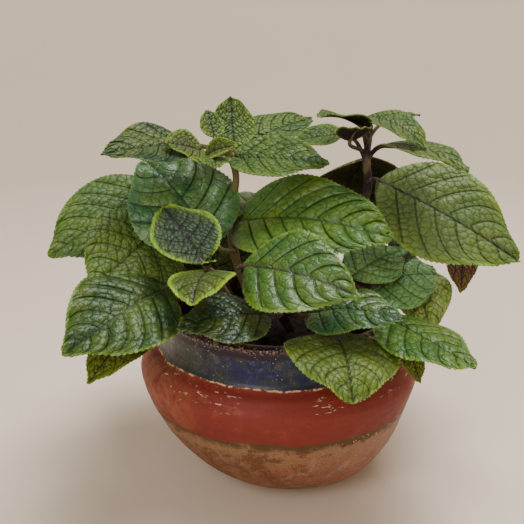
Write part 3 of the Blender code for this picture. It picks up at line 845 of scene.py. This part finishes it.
def leaf_back_coat():
    """Underside of a blade: dull, dark purple or olive-brown, with raised veins."""
    coat = Coat("leaf_back")
    under = coat.stored("look", "Alpha")
    tone = coat.stored("tone", "Color")
    rung, phase = coat.map("veins")
    half = coat.map("net")[0].math("SIGN") * HALF_SHIFT
    side_vein = phase.math("PINGPONG", 0.5).step(0.07, 0.01)
    net = coat.cells(1.0, coat.vector(rung, phase * 2.0 + half), randomness=0.75).step(0.10, 0.0)
    cloud = coat.noise(60.0)
    dull = coat.mix(cloud.step(0.3, 0.7), tone.shade(0.7), paint(62, 50, 34))
    skin = coat.mix(under + cloud * 0.2, dull, paint(38, 24, 27))
    ridge_tint = coat.mix(under, paint(104, 92, 62), paint(70, 44, 44))
    skin = coat.mix((side_vein + net * 0.5) * 0.45, skin, ridge_tint)
    skin = coat.layers(skin, (coat.stored("edge").step(1.2, 0.2) * 0.5, (104, 126, 56)))
    relief = side_vein * 0.45 + net * 0.2 + coat.noise(1600.0, 2.0) * 0.05
    return coat.finish(Base_Color=skin, Roughness=cloud.step(0.3, 0.7, 0.62, 0.75),
                       Normal=relief.bump(), Specular_IOR_Level=0.25)


def stalk_coat(name, skin):
    """Skin of a stem and its stalks: fine lengthwise streaks, and spots of another tint."""
    coat = Coat(name + "_skin")
    streak = coat.stretched((1500.0, 1500.0, 160.0), 3.0)
    colour = coat.layers(skin, (coat.noise(110.0).step(0.42, 0.68), (98, 88, 60)))
    relief = streak * 0.16 + coat.noise(2600.0, 2.0) * 0.05
    return coat.finish(Base_Color=colour.shade(streak * 0.6 + 0.7),
                       Roughness=streak.step(0.3, 0.7, 0.42, 0.6), Normal=relief.bump(),
                       Specular_IOR_Level=0.3)


def hair_coat():
    """Pale hairs, a little darker here and there."""
    coat = Coat("pale_hair")
    patch = coat.noise(300.0, 2.0)
    colour = coat.mix(patch, paint(150, 160, 120), paint(206, 210, 178))
    return coat.finish(Base_Color=colour, Roughness=patch.step(0.3, 0.7, 0.4, 0.6))


def floor_coat(settings):
    """Plain pale floor with the faintest cloudiness."""
    coat = Coat("pale_floor")
    cloud = coat.noise(6.0, 2.0) * 0.03 + 0.985
    colour = coat.node("VectorMath", ((0, settings.floor), ("Scale", cloud)), operation="SCALE")
    return coat.finish(Base_Color=colour, Roughness=coat.noise(40.0, 2.0).step(0.3, 0.7, 0.5, 0.6))


class Blade:
    """Frame of a leaf: its bowed midrib, and the directions across it and out of its upper face."""

    def __init__(self, leaf):
        azimuth, rise = math.radians(leaf.azimuth), math.radians(leaf.rise)
        level = Vector((math.cos(azimuth), math.sin(azimuth), 0.0))
        forward = level * math.cos(rise) + Vector((0.0, 0.0, math.sin(rise)))
        left = Matrix.Rotation(math.radians(leaf.roll), 3, forward) @ Vector((-level.y, level.x, 0.0))
        self.leaf = leaf
        self.base = np.array(leaf.base, dtype=float)
        self.forward = np.array(forward)
        self.left = np.array(left)
        self.up = np.array(forward.cross(left))

    def frame(self, share):
        """Midrib points, directions along it and upward normals, shares of the way from base to tip."""
        share = np.asarray(share, dtype=float)[..., None]
        arch = self.leaf.arch
        spot = self.base + self.forward * self.leaf.length * share + self.up * 4 * arch * share * (1 - share)
        slope = np.arctan2(4.0 * arch * (1.0 - 2.0 * share), self.leaf.length)
        ahead = self.forward * np.cos(slope) + self.up * np.sin(slope)
        normal = self.up * np.cos(slope) - self.forward * np.sin(slope)
        return spot, ahead, normal

    def half_width(self, share):
        """Half the blade's width: broad and rounded near the base, narrowing to a blunt tip."""
        power = math.log(0.5) / math.log(WIDEST)
        swell = np.abs(np.sin(np.pi * np.clip(share, 0, 1) ** power))
        return 0.5 * self.leaf.width * swell ** self.leaf.fullness


class BladeSheet:
    """Fine upper surface of a blade: rows follow its side veins, which sweep forward to the edge."""

    def __init__(self, leaf, seed, settings):
        self.leaf = leaf
        self.look = LOOKS[leaf.look]
        self.blade = Blade(leaf)
        rng = random.Random(seed)
        rows = max(FEWEST_ROWS, round(leaf.length * settings.rows_per_mm))
        wave_phase = rng.uniform(0.0, 2 * math.pi)
        self.across = COLUMNS[None, :]
        self.reach = np.abs(self.across)
        start = (np.arange(rows + 1) / rows)[:, None] ** ROW_CROWDING
        bend = self.reach * (1.0 - VEIN_BEND * (1.0 - self.reach))
        sweep = settings.sweep * VEIN_SWEEP * np.sqrt(start) * (1.0 - start)
        self.share = np.clip(start + sweep * bend, 0, 1)
        self.half = self.blade.half_width(self.share)
        self.beside = self.half * self.across
        veins = round(VEINS_FEWEST + leaf.length / VEIN_SPACING)
        stagger = rng.uniform(*VEIN_STAGGER) * np.clip(self.beside, 0.0, 1.0)
        self.phase = veins * start ** VEIN_CROWDING + stagger
        wave = EDGE_WAVE * leaf.width * self.reach ** 2 * np.sin(
            2 * np.pi * EDGE_WAVES * start + wave_phase + self.across)
        spot, _, normal = self.blade.frame(self.share)
        lift = self.lift(settings) + wave
        self.points = spot + self.blade.left * self.beside[..., None] + normal * lift[..., None]
        self.edges = [self.cut_teeth(column, side, rng, settings)
                      for column, side in ((0, -1.0), (len(COLUMNS) - 1, 1.0))]

    def lift(self, settings):
        """Height of the cup, puffed fields and midrib groove over the plain blade, in mm."""
        leaf, reach = self.leaf, self.reach
        field = np.abs(np.sin(np.pi * self.phase)) ** FIELD_FLATNESS - FIELD_LEVEL
        outer = 1.0 - FIELD_OUTER_DROP * ease(reach, *FIELD_OUTER)
        window = ease(reach, *FIELD_INNER) * outer * ease(self.half, *FIELD_NARROW)
        puff = settings.puff * leaf.length * (PUFF_DULL + PUFF_GLOSSY * self.look.shine) * field * window
        groove = np.exp(-(self.beside / GROOVE_WIDTH) ** 2) * ease(self.half, *GROOVE_NARROW)
        groove *= settings.groove / MM * min(1.0, leaf.length / GROOVE_FULL)
        return leaf.cup * self.half * reach ** 2 + puff - groove

    def cut_teeth(self, column, side, rng, settings):
        """Cut rounded teeth that lean towards the tip into one edge, and return it with its outward way."""
        size = min(1.0, (self.leaf.length / FULL_LEAF) ** TOOTH_SHRINK)
        pitch = max(TOOTH_PITCH_LEAST, settings.tooth_pitch / MM * size)
        edge = self.points[:, column]
        normal = self.blade.frame(self.share[:, 0])[2]
        outward = np.cross(normal, unit(np.gradient(edge, axis=0))) * side
        turn = run_along(edge) / pitch + rng.random()
        jitter = np.array([random.Random(int(tooth) * 7 + column).uniform(*TOOTH_SIZES)
                           for tooth in np.floor(turn)])
        crest = np.sin(np.pi * (turn % 1.0) ** TOOTH_LEAN) ** TOOTH_ROUNDNESS - 0.5
        fade = ease(self.share[:, column], *TOOTH_START) * ease(self.half[:, column], *TOOTH_NARROW)
        shift = outward * (settings.tooth / MM * size * crest * jitter * fade)[:, None]
        chosen = self.across[0] * side > 0
        weight = np.clip((self.reach[0, chosen] - TOOTH_ROOT) / (1.0 - TOOTH_ROOT), 0.0, 1.0) ** 1.6
        self.points[:, chosen] += shift[:, None, :] * weight[None, :, None]
        return self.points[:, column].copy(), outward

    def edge_distance(self):
        """Distance to the edge in mm, kept large at the base so that the light rim fades out there."""
        bare = np.clip(RIM_BASE - self.share, 0.0, 1.0) * self.leaf.length * RIM_BASE_GAIN
        return (1.0 - self.reach) * self.half + bare


def store(mesh, name, kind, values):
    """Keep one value or colour at each of a mesh's points."""
    layer = mesh.attributes.new(name, kind, "POINT")
    field = "value" if kind == "FLOAT" else "color"
    layer.data.foreach_set(field, np.asarray(values, dtype=float).ravel())


def store_map(mesh, name, *parts):
    """Keep a map of the surface, from its two parts at each of a mesh's points."""
    corners = np.empty(len(mesh.loops), dtype=int)
    mesh.loops.foreach_get("vertex_index", corners)
    layer = mesh.uv_layers.new(name=name)
    layer.data.foreach_set("uv", np.column_stack(parts)[corners].ravel())


def blade_piece(sheet, index):
    """One blade's upper surface, a grid whose points are placed row by row."""
    rows, columns = sheet.points.shape[:2]
    bpy.ops.mesh.primitive_grid_add(x_subdivisions=columns - 1, y_subdivisions=rows - 1, size=2.0,
                                    calc_uvs=False)
    piece = bpy.context.object
    plan = coordinates(piece)
    column = np.rint((1.0 - plan[:, 0]) / 2.0 * (columns - 1)).astype(int)
    row = np.rint((plan[:, 1] + 1.0) / 2.0 * (rows - 1)).astype(int)
    move_points(piece, (sheet.points[row, column] + PLANT) * MM)
    mesh = piece.data
    store(mesh, "tone", "FLOAT_COLOR", np.tile(sheet.look.tone, (len(row), 1)))
    store(mesh, "look", "FLOAT_COLOR", np.tile(sheet.look[1:], (len(row), 1)))
    store(mesh, "edge", "FLOAT", sheet.edge_distance()[row, column])
    pitch = np.clip(RUNG_SHARE * sheet.leaf.length, *RUNG_LIMITS)
    pitch *= RUNG_DULL + RUNG_GLOSSY * sheet.look.shine
    beside = sheet.beside[row, column]
    forward = sheet.share[row, column] * sheet.leaf.length
    rung = (np.abs(beside) * math.cos(VEIN_LEAN) + forward * math.sin(VEIN_LEAN)) / pitch
    store_map(mesh, "veins", rung, sheet.phase[row, column] + VEINS_SHIFT * index)
    store_map(mesh, "net", beside, forward + NET_SHIFT * index)
    return piece


def leaf_sheets(stem, settings):
    """Surfaces of all blades of a stem."""
    seed = LEAF_SEED * len(stem.leaves)
    return [BladeSheet(leaf, seed + index, settings) for index, leaf in enumerate(stem.leaves)]


def stalk_path(stem, leaf):
    """Points and radii of a leaf's stalk in mm, from its stem to its blade and on under the midrib."""
    blade = Blade(leaf)
    route = np.array(stem.route, dtype=float)
    start = rows_at([leaf.node], route[:, 2], route)[0]
    base, ahead, normal = (part[0] for part in blade.frame([0.0]))
    out = base - start
    reach = np.linalg.norm(out)
    first = start + out * STALK_OUT + np.array((0.0, 0.0, STALK_LIFT * reach))
    second = base - ahead * STALK_BACK * reach - normal * STALK_SUNK
    end = base - normal * STALK_SUNK
    full = STALK_RADIUS * (STALK_THIN + (1.0 - STALK_THIN) * min(leaf.length / FULL_LEAF, 1.0))
    share = np.linspace(0.0, 1.0, STALK_STEPS + 1)[:-1, None]
    keep = 1.0 - share
    stalk = start * keep ** 3 + (first * keep + second * share) * 3 * keep * share + end * share ** 3
    stalk_radii = full * (1.0 + STALK_SWELL * keep[:, 0] ** 6)
    share = np.linspace(0.0, RIB_END, RIB_STEPS)
    spots, _, normals = blade.frame(share)
    rib_radii = full * (1.0 - RIB_DROP * np.minimum(share / RIB_START, 1.0)) * (1.0 - share) ** RIB_TAPER
    sunk = STALK_SUNK + (RIB_SUNK + rib_radii) * np.minimum(share / RIB_SUNK_BY, 1.0)
    return (np.concatenate((stalk, spots - normals * sunk[:, None])),
            np.concatenate((stalk_radii, np.maximum(rib_radii, RIB_THINNEST))))


def axis_path(stem):
    """Points and radii of a stem's own axis in mm, swollen where leaves leave it."""
    foot = np.array(stem.route[0]) - np.array((0.0, 0.0, AXIS_SUNK))
    line = np.array([foot] + smooth_line(stem.route, 8))
    height = line[:, 2]
    nodes = np.array(list({leaf.node for leaf in stem.leaves}))
    swell = np.exp(-((height[:, None] - nodes) / NODE_REACH) ** 2).sum(axis=1)
    plain = np.interp(height, (stem.route[0][2], stem.route[-1][2]), AXIS_RADII)
    return line, plain * (1.0 + NODE_SWELL * np.minimum(swell, 1.0))


def add_line(curve, points, radii):
    """Add one straight-jointed line to a curve, from points in metres."""
    spline = curve.splines.new("POLY")
    spline.points.add(len(points) - 1)
    for spot, point, radius in zip(spline.points, points, radii):
        spot.co = (*point, 1.0)
        spot.radius = radius
    return spline


def tubes(name, paths, section=None):
    """Mesh of tubes along paths in mm, round or with the shape of a section."""
    curve = bpy.data.curves.new(name, "CURVE")
    curve.dimensions = "3D"
    curve.use_fill_caps = True
    if section is None:
        curve.bevel_depth = MM
        curve.bevel_resolution = 3
    else:
        curve.bevel_mode = "OBJECT"
        curve.bevel_object = section
    for points, radii in paths:
        add_line(curve, (points + PLANT) * MM, radii)
    pick(added(name, curve))
    bpy.ops.object.convert(target="MESH")
    return bpy.context.object


def square_section(sides=24):
    """Rounded square, 1 mm from its middle to its sides, for the stems' square axes."""
    curve = bpy.data.curves.new("stem_section", "CURVE")
    curve.dimensions = "2D"
    turn = 2 * np.pi * np.arange(sides) / sides
    ring = np.column_stack((np.cos(turn), np.sin(turn), np.zeros(sides)))
    ring *= np.sum(ring ** 4, axis=1, keepdims=True) ** -0.25 * MM
    add_line(curve, ring, np.ones(sides)).use_cyclic_u = True
    return added("stem_section", curve)


def hair_template(settings):
    """Points and faces of one hair, a slim cone that stands on its root."""
    bpy.ops.object.select_all(action="DESELECT")
    bpy.ops.mesh.primitive_cone_add(vertices=3, radius1=settings.radius, radius2=0.0,
                                    depth=settings.length)
    piece = bpy.context.object
    points = coordinates(piece) + np.array((0.0, 0.0, settings.length / 2))
    faces = [tuple(face.vertices) for face in piece.data.polygons]
    bpy.data.objects.remove(piece)
    return points, faces


def hair_roots(stem, sheets, settings):
    """Roots in metres, directions and sizes of a stem's hairs, on its blades' edges and its stalks."""
    rng = np.random.default_rng(LEAF_SEED + len(stem.leaves))
    roots = []
    ways = []
    for sheet in sheets:
        for edge, outward in sheet.edges:
            run = run_along(edge)
            picked = rng.uniform(HAIR_START * run[-1], run[-1], int(run[-1] * settings.per_mm))
            roots.append(rows_at(picked, run, edge))
            ways.append(rows_at(picked, run, outward))
    stalks = [[part[:STALK_STEPS + 1] for part in stalk_path(stem, leaf)] for leaf in stem.leaves]
    for points, radii in stalks + [axis_path(stem)]:
        run = run_along(points)
        picked = rng.uniform(0.0, run[-1], int(run[-1] * settings.per_mm * STALK_HAIRS))
        spots = rows_at(picked, run, points)
        ahead = unit(rows_at(picked, run, np.gradient(points, axis=0)))
        way = rng.normal(size=spots.shape)
        way = unit(way - ahead * np.sum(way * ahead, axis=1, keepdims=True))
        roots.append(spots + way * np.interp(picked, run, radii)[:, None] * HAIR_ROOT)
        ways.append(way)
    roots = np.concatenate(roots)
    ways = unit(np.concatenate(ways) + rng.normal(scale=HAIR_STRAY, size=roots.shape))
    return (roots + PLANT) * MM, ways, rng.uniform(HAIR_SHORTEST, 1.0, len(roots))


def hair_piece(name, stem, sheets, settings):
    """Short hairs of one stem, copies of one cone in a single mesh."""
    shape, faces = hair_template(settings)
    roots, ways, sizes = hair_roots(stem, sheets, settings)
    helper = np.where(np.abs(ways[:, 2:3]) < 0.9, np.array((0.0, 0.0, 1.0)), np.array((1.0, 0.0, 0.0)))
    first = unit(np.cross(ways, helper))
    axes = np.stack((first, np.cross(ways, first), ways * sizes[:, None]), axis=1)
    points = roots[:, None, :] + shape @ axes
    corners = [tuple(index + copy * len(shape) for index in face)
               for copy in range(len(roots)) for face in faces]
    mesh = bpy.data.meshes.new(name)
    mesh.from_pydata(points.reshape(-1, 3).tolist(), [], corners)
    return added(name, mesh)


class PLANT_OT_throw_pot(bpy.types.Operator):
    """Throw the bowl pot from its foot up, over the lip and down inside, and glaze it in bands."""

    bl_idname = "plant.throw_pot"
    bl_label = "Throw the pot"

    def execute(self, context):
        settings = context.scene.pot_settings
        profile = [tuple(point) for point in smooth_line(POT_OUTER, 7)]
        for degrees in range(LIP_TURN, 180, LIP_TURN):
            turn = math.radians(degrees)
            profile.append((NECK - WALL / 2 * (1.0 - math.cos(turn)), RIM + LIP_RISE * math.sin(turn)))
        inner = [(outer_radius(height) - WALL, height) for height in INNER_HEIGHTS]
        inner += [(POT_FLOOR_RADIUS, POT_FLOOR), (POT_FLOOR_MIDDLE, POT_FLOOR)]
        profile += [(max(radius, POT_FLOOR_MIDDLE), height) for radius, height in smooth_line(inner, 5)]
        pot = turn_up("pot_bowl", profile, settings.sides)
        points = coordinates(pot) / MM
        x, y, height = points.T
        grow = ease(height, 0.0, FLAT_FOOT) * settings.lump / MM
        ridges = np.sin(height * RIDGE_TURN + RIDGE_STARTS * np.arctan2(y, x)) * RIDGE_HEIGHT
        bulge = lumps(points, POT_LUMPS) + ridges
        points = points + unit(points * np.array((1.0, 1.0, 0.0))) * (grow * bulge)[:, None]
        points[:, 2] += ease(points[:, 2], *WAVY_RIM) * lumps(points, RIM_LUMPS)
        move_points(pot, handmade(points) * MM)
        close_up(pot)
        pot.data.materials.append(pot_glaze_coat(settings))
        pot.data.materials.append(inner_glaze_coat())
        middle = Vector((SWAY * MM, 0.0))
        for face in pot.data.polygons:
            away = face.center.xy - middle
            inward = face.normal.xy.dot(away.normalized()) < INNER_GLAZE_FACING
            inside = away.length < (NECK - INNER_GLAZE_EDGE * WALL) * MM
            if inward and inside and face.center.z > INNER_GLAZE_FOOT * MM:
                face.material_index = 1
        smooth(pot, 60.0)
        hand_over(pot, "pot_glaze", "pot")
        return {"FINISHED"}


class PLANT_OT_fill_soil(bpy.types.Operator):
    """Fill the pot with a rough mound of soil, with loose crumbs on top."""

    bl_idname = "plant.fill_soil"
    bl_label = "Fill the soil"

    def execute(self, context):
        settings = context.scene.soil_settings
        edge = outer_radius(SOIL_TOP) - WALL - SOIL_GAP
        profile = [(edge, SOIL_TOP - SOIL_DEPTH * share) for share in (1.0, 0.5, 0.0)]
        for ring in range(1, settings.rings):
            share = 1.0 - ring / settings.rings
            profile.append((edge * share, SOIL_TOP + SOIL_MOUND * (1.0 - share ** 2)))
        soil = turn_up("soil_bed", profile, SOIL_SIDES)
        points = coordinates(soil) / MM
        top = points[:, 2] > SOIL_TOP + 0.01
        reach = np.linalg.norm(points[:, :2], axis=1)
        rough = lumps(points, SOIL_LUMPS) * settings.rough / MM
        points[:, 2] += np.where(top, rough * (1.0 - ease(reach, edge * SOIL_CALM, edge)), 0.0)
        move_points(soil, handmade(points) * MM)
        close_up(soil)
        pick(soil, *self.scatter(settings, edge))
        bpy.ops.object.join()
        soil.data.materials.append(soil_coat())
        smooth(soil, 50.0)
        hand_over(soil, "potting_soil", "soil")
        return {"FINISHED"}

    def scatter(self, settings, edge):
        """Crumbs that lie in the soil's surface, copies of one rough lump."""
        rng = random.Random(CRUMB_SEED)
        bpy.ops.object.select_all(action="DESELECT")
        bpy.ops.mesh.primitive_ico_sphere_add(subdivisions=1, radius=1.0)
        lump = bpy.context.object
        shape = coordinates(lump)
        crumbs = []
        for index in range(settings.crumbs):
            reach = (edge - CRUMB_MARGIN) * math.sqrt(rng.random())
            turn = rng.uniform(0.0, 2 * math.pi)
            size = rng.uniform(*CRUMB_SIZES)
            height = SOIL_TOP + SOIL_MOUND * (1.0 - (reach / edge) ** 2) + CRUMB_LIFT * size
            spot = np.array((reach * math.cos(turn), reach * math.sin(turn), height))
            stretch = np.array([size * rng.uniform(*CRUMB_STRETCH) for axis in range(3)])
            uneven = 1.0 + np.array([[rng.uniform(-CRUMB_DENT, CRUMB_DENT)] for point in shape])
            crumbs.append(added("crumb", lump.data.copy()))
            move_points(crumbs[-1], handmade(shape * stretch * uneven + spot) * MM)
        bpy.data.objects.remove(lump)
        return crumbs


class PLANT_OT_grow_stalks(bpy.types.Operator):
    """Grow each stem's square axis and the stalks of its leaves, which run on as ribs under the blades."""

    bl_idname = "plant.grow_stalks"
    bl_label = "Grow the stems and stalks"

    def execute(self, context):
        section = square_section()
        for name, stem in STEMS.items():
            axis = tubes(name + "_axis", [axis_path(stem)], section)
            stalks = tubes(name + "_stalks", [stalk_path(stem, leaf) for leaf in stem.leaves])
            pick(stalks, axis)
            bpy.ops.object.join()
            close_up(stalks)
            stalks.data.materials.clear()
            stalks.data.materials.append(stalk_coat(name, stem.skin))
            smooth(stalks, 50.0)
            hand_over(stalks, stem.slot, name)
        bpy.data.objects.remove(section)
        return {"FINISHED"}


class PLANT_OT_grow_leaves(bpy.types.Operator):
    """Grow the blades of every stem, with puffed fields, veins and toothed edges."""

    bl_idname = "plant.grow_leaves"
    bl_label = "Grow the leaves"

    def execute(self, context):
        settings = context.scene.leaf_settings
        coats = leaf_face_coat(), leaf_back_coat()
        for name, stem in STEMS.items():
            bpy.ops.object.select_all(action="DESELECT")
            pick(*(blade_piece(sheet, index) for index, sheet in enumerate(leaf_sheets(stem, settings))))
            bpy.ops.object.join()
            leaves = named(bpy.context.object, name + "_leaves")
            close_up(leaves, outward=False)
            for coat in coats:
                leaves.data.materials.append(coat)
            thicken = leaves.modifiers.new("thickness", "SOLIDIFY")
            thicken.thickness = settings.thickness
            thicken.offset = -1.0
            thicken.material_offset = 1
            thicken.material_offset_rim = 0
            bpy.ops.object.modifier_apply(modifier=thicken.name)
            smooth(leaves, 60.0)
            hand_over(leaves, stem.slot, name)
        return {"FINISHED"}


class PLANT_OT_grow_hairs(bpy.types.Operator):
    """Grow short hairs along the edges of the blades and on the stalks."""

    bl_idname = "plant.grow_hairs"
    bl_label = "Grow the hairs"

    def execute(self, context):
        coat = hair_coat()
        for name, stem in STEMS.items():
            sheets = leaf_sheets(stem, context.scene.leaf_settings)
            hairs = hair_piece(name + "_hairs", stem, sheets, context.scene.hair_settings)
            hairs.data.materials.append(coat)
            hand_over(hairs, stem.slot, name)
        return {"FINISHED"}


class PLANT_OT_set_stage(bpy.types.Operator):
    """Set the camera, a plain pale floor that sweeps up behind, and soft studio light."""

    bl_idname = "plant.set_stage"
    bl_label = "Set the stage"

    def execute(self, context):
        settings = context.scene.stage_settings
        bpy.ops.object.select_all(action="DESELECT")
        bpy.ops.object.camera_add(location=settings.camera_place,
                                  rotation=(settings.camera_tilt, 0.0, 0.0))
        camera = bpy.context.object
        camera.data.lens = settings.lens
        camera.data.sensor_width = SENSOR_WIDTH
        camera.data.clip_start = NEAR_CLIP
        context.scene.camera = camera
        self.lay_floor(settings)
        self.hang_lights(context)
        return {"FINISHED"}

    def lay_floor(self, settings):
        """Round floor that turns up into a low wall in one soft curve, so that all views have a pale back."""
        profile = [(STAGE_FLAT + STAGE_BEND * math.sin(turn), STAGE_BEND * (1.0 - math.cos(turn)))
                   for turn in np.linspace(0.0, 0.5 * math.pi, STAGE_BEND_RINGS)]
        profile.append((STAGE_FLAT + STAGE_BEND, STAGE_WALL))
        floor = turn_up("floor", profile, STAGE_SIDES, bpy.ops.mesh.extrude_edges_move)
        smooth(floor)
        floor.data.materials.append(floor_coat(settings))

    def hang_lights(self, context):
        """Wide soft light from above and a fainter one in front at the left, under a pale sky."""
        for name, place, power in LIGHTS:
            bpy.ops.object.light_add(type="AREA", location=place)
            light = named(bpy.context.object, name)
            light.data.size = LIGHT_SIZE
            light.data.energy = power
            light.rotation_euler = (LIGHT_TARGET - light.location).to_track_quat("-Z", "Y").to_euler()
        world = bpy.data.worlds.new("studio")
        context.scene.world = world
        world.use_nodes = True
        sky = world.node_tree.nodes["Background"]
        sky.inputs["Color"].default_value = paint(228, 226, 222)
        sky.inputs["Strength"].default_value = SKY_STRENGTH


class PLANT_PT_panel(bpy.types.Panel):
    """Lists the pieces and their settings."""

    bl_idname = "PLANT_PT_panel"
    bl_label = "Potted plectranthus"
    bl_space_type = "VIEW_3D"
    bl_region_type = "UI"
    bl_category = "Plectranthus"

    def draw(self, context):
        for name, group, operators in STEPS:
            box = self.layout.box()
            for setting in group.__annotations__:
                box.prop(getattr(context.scene, name), setting)
            for operator in operators:
                box.operator(operator.bl_idname)


# Settings, by their name in the scene, with the operators that use them
STEPS = (
    ("pot_settings", PotSettings, [PLANT_OT_throw_pot]),
    ("soil_settings", SoilSettings, [PLANT_OT_fill_soil]),
    ("leaf_settings", LeafSettings, [PLANT_OT_grow_stalks, PLANT_OT_grow_leaves]),
    ("hair_settings", HairSettings, [PLANT_OT_grow_hairs]),
    ("stage_settings", StageSettings, [PLANT_OT_set_stage]),
)


def register():
    """Register the settings, operators and panel."""
    for name, group, operators in STEPS:
        for made in (group, *operators):
            bpy.utils.register_class(made)
        setattr(bpy.types.Scene, name, bpy.props.PointerProperty(type=group))
    bpy.utils.register_class(PLANT_PT_panel)


def unregister():
    """Remove the panel, operators and settings."""
    bpy.utils.unregister_class(PLANT_PT_panel)
    for name, group, operators in STEPS[::-1]:
        delattr(bpy.types.Scene, name)
        for made in (*operators, group):
            bpy.utils.unregister_class(made)


def main():
    """Build every piece in order."""
    register()
    bpy.ops.plant.throw_pot()
    bpy.ops.plant.fill_soil()
    bpy.ops.plant.grow_stalks()
    bpy.ops.plant.grow_leaves()
    bpy.ops.plant.grow_hairs()
    bpy.ops.plant.set_stage()


if __name__ == "__main__":
    main()
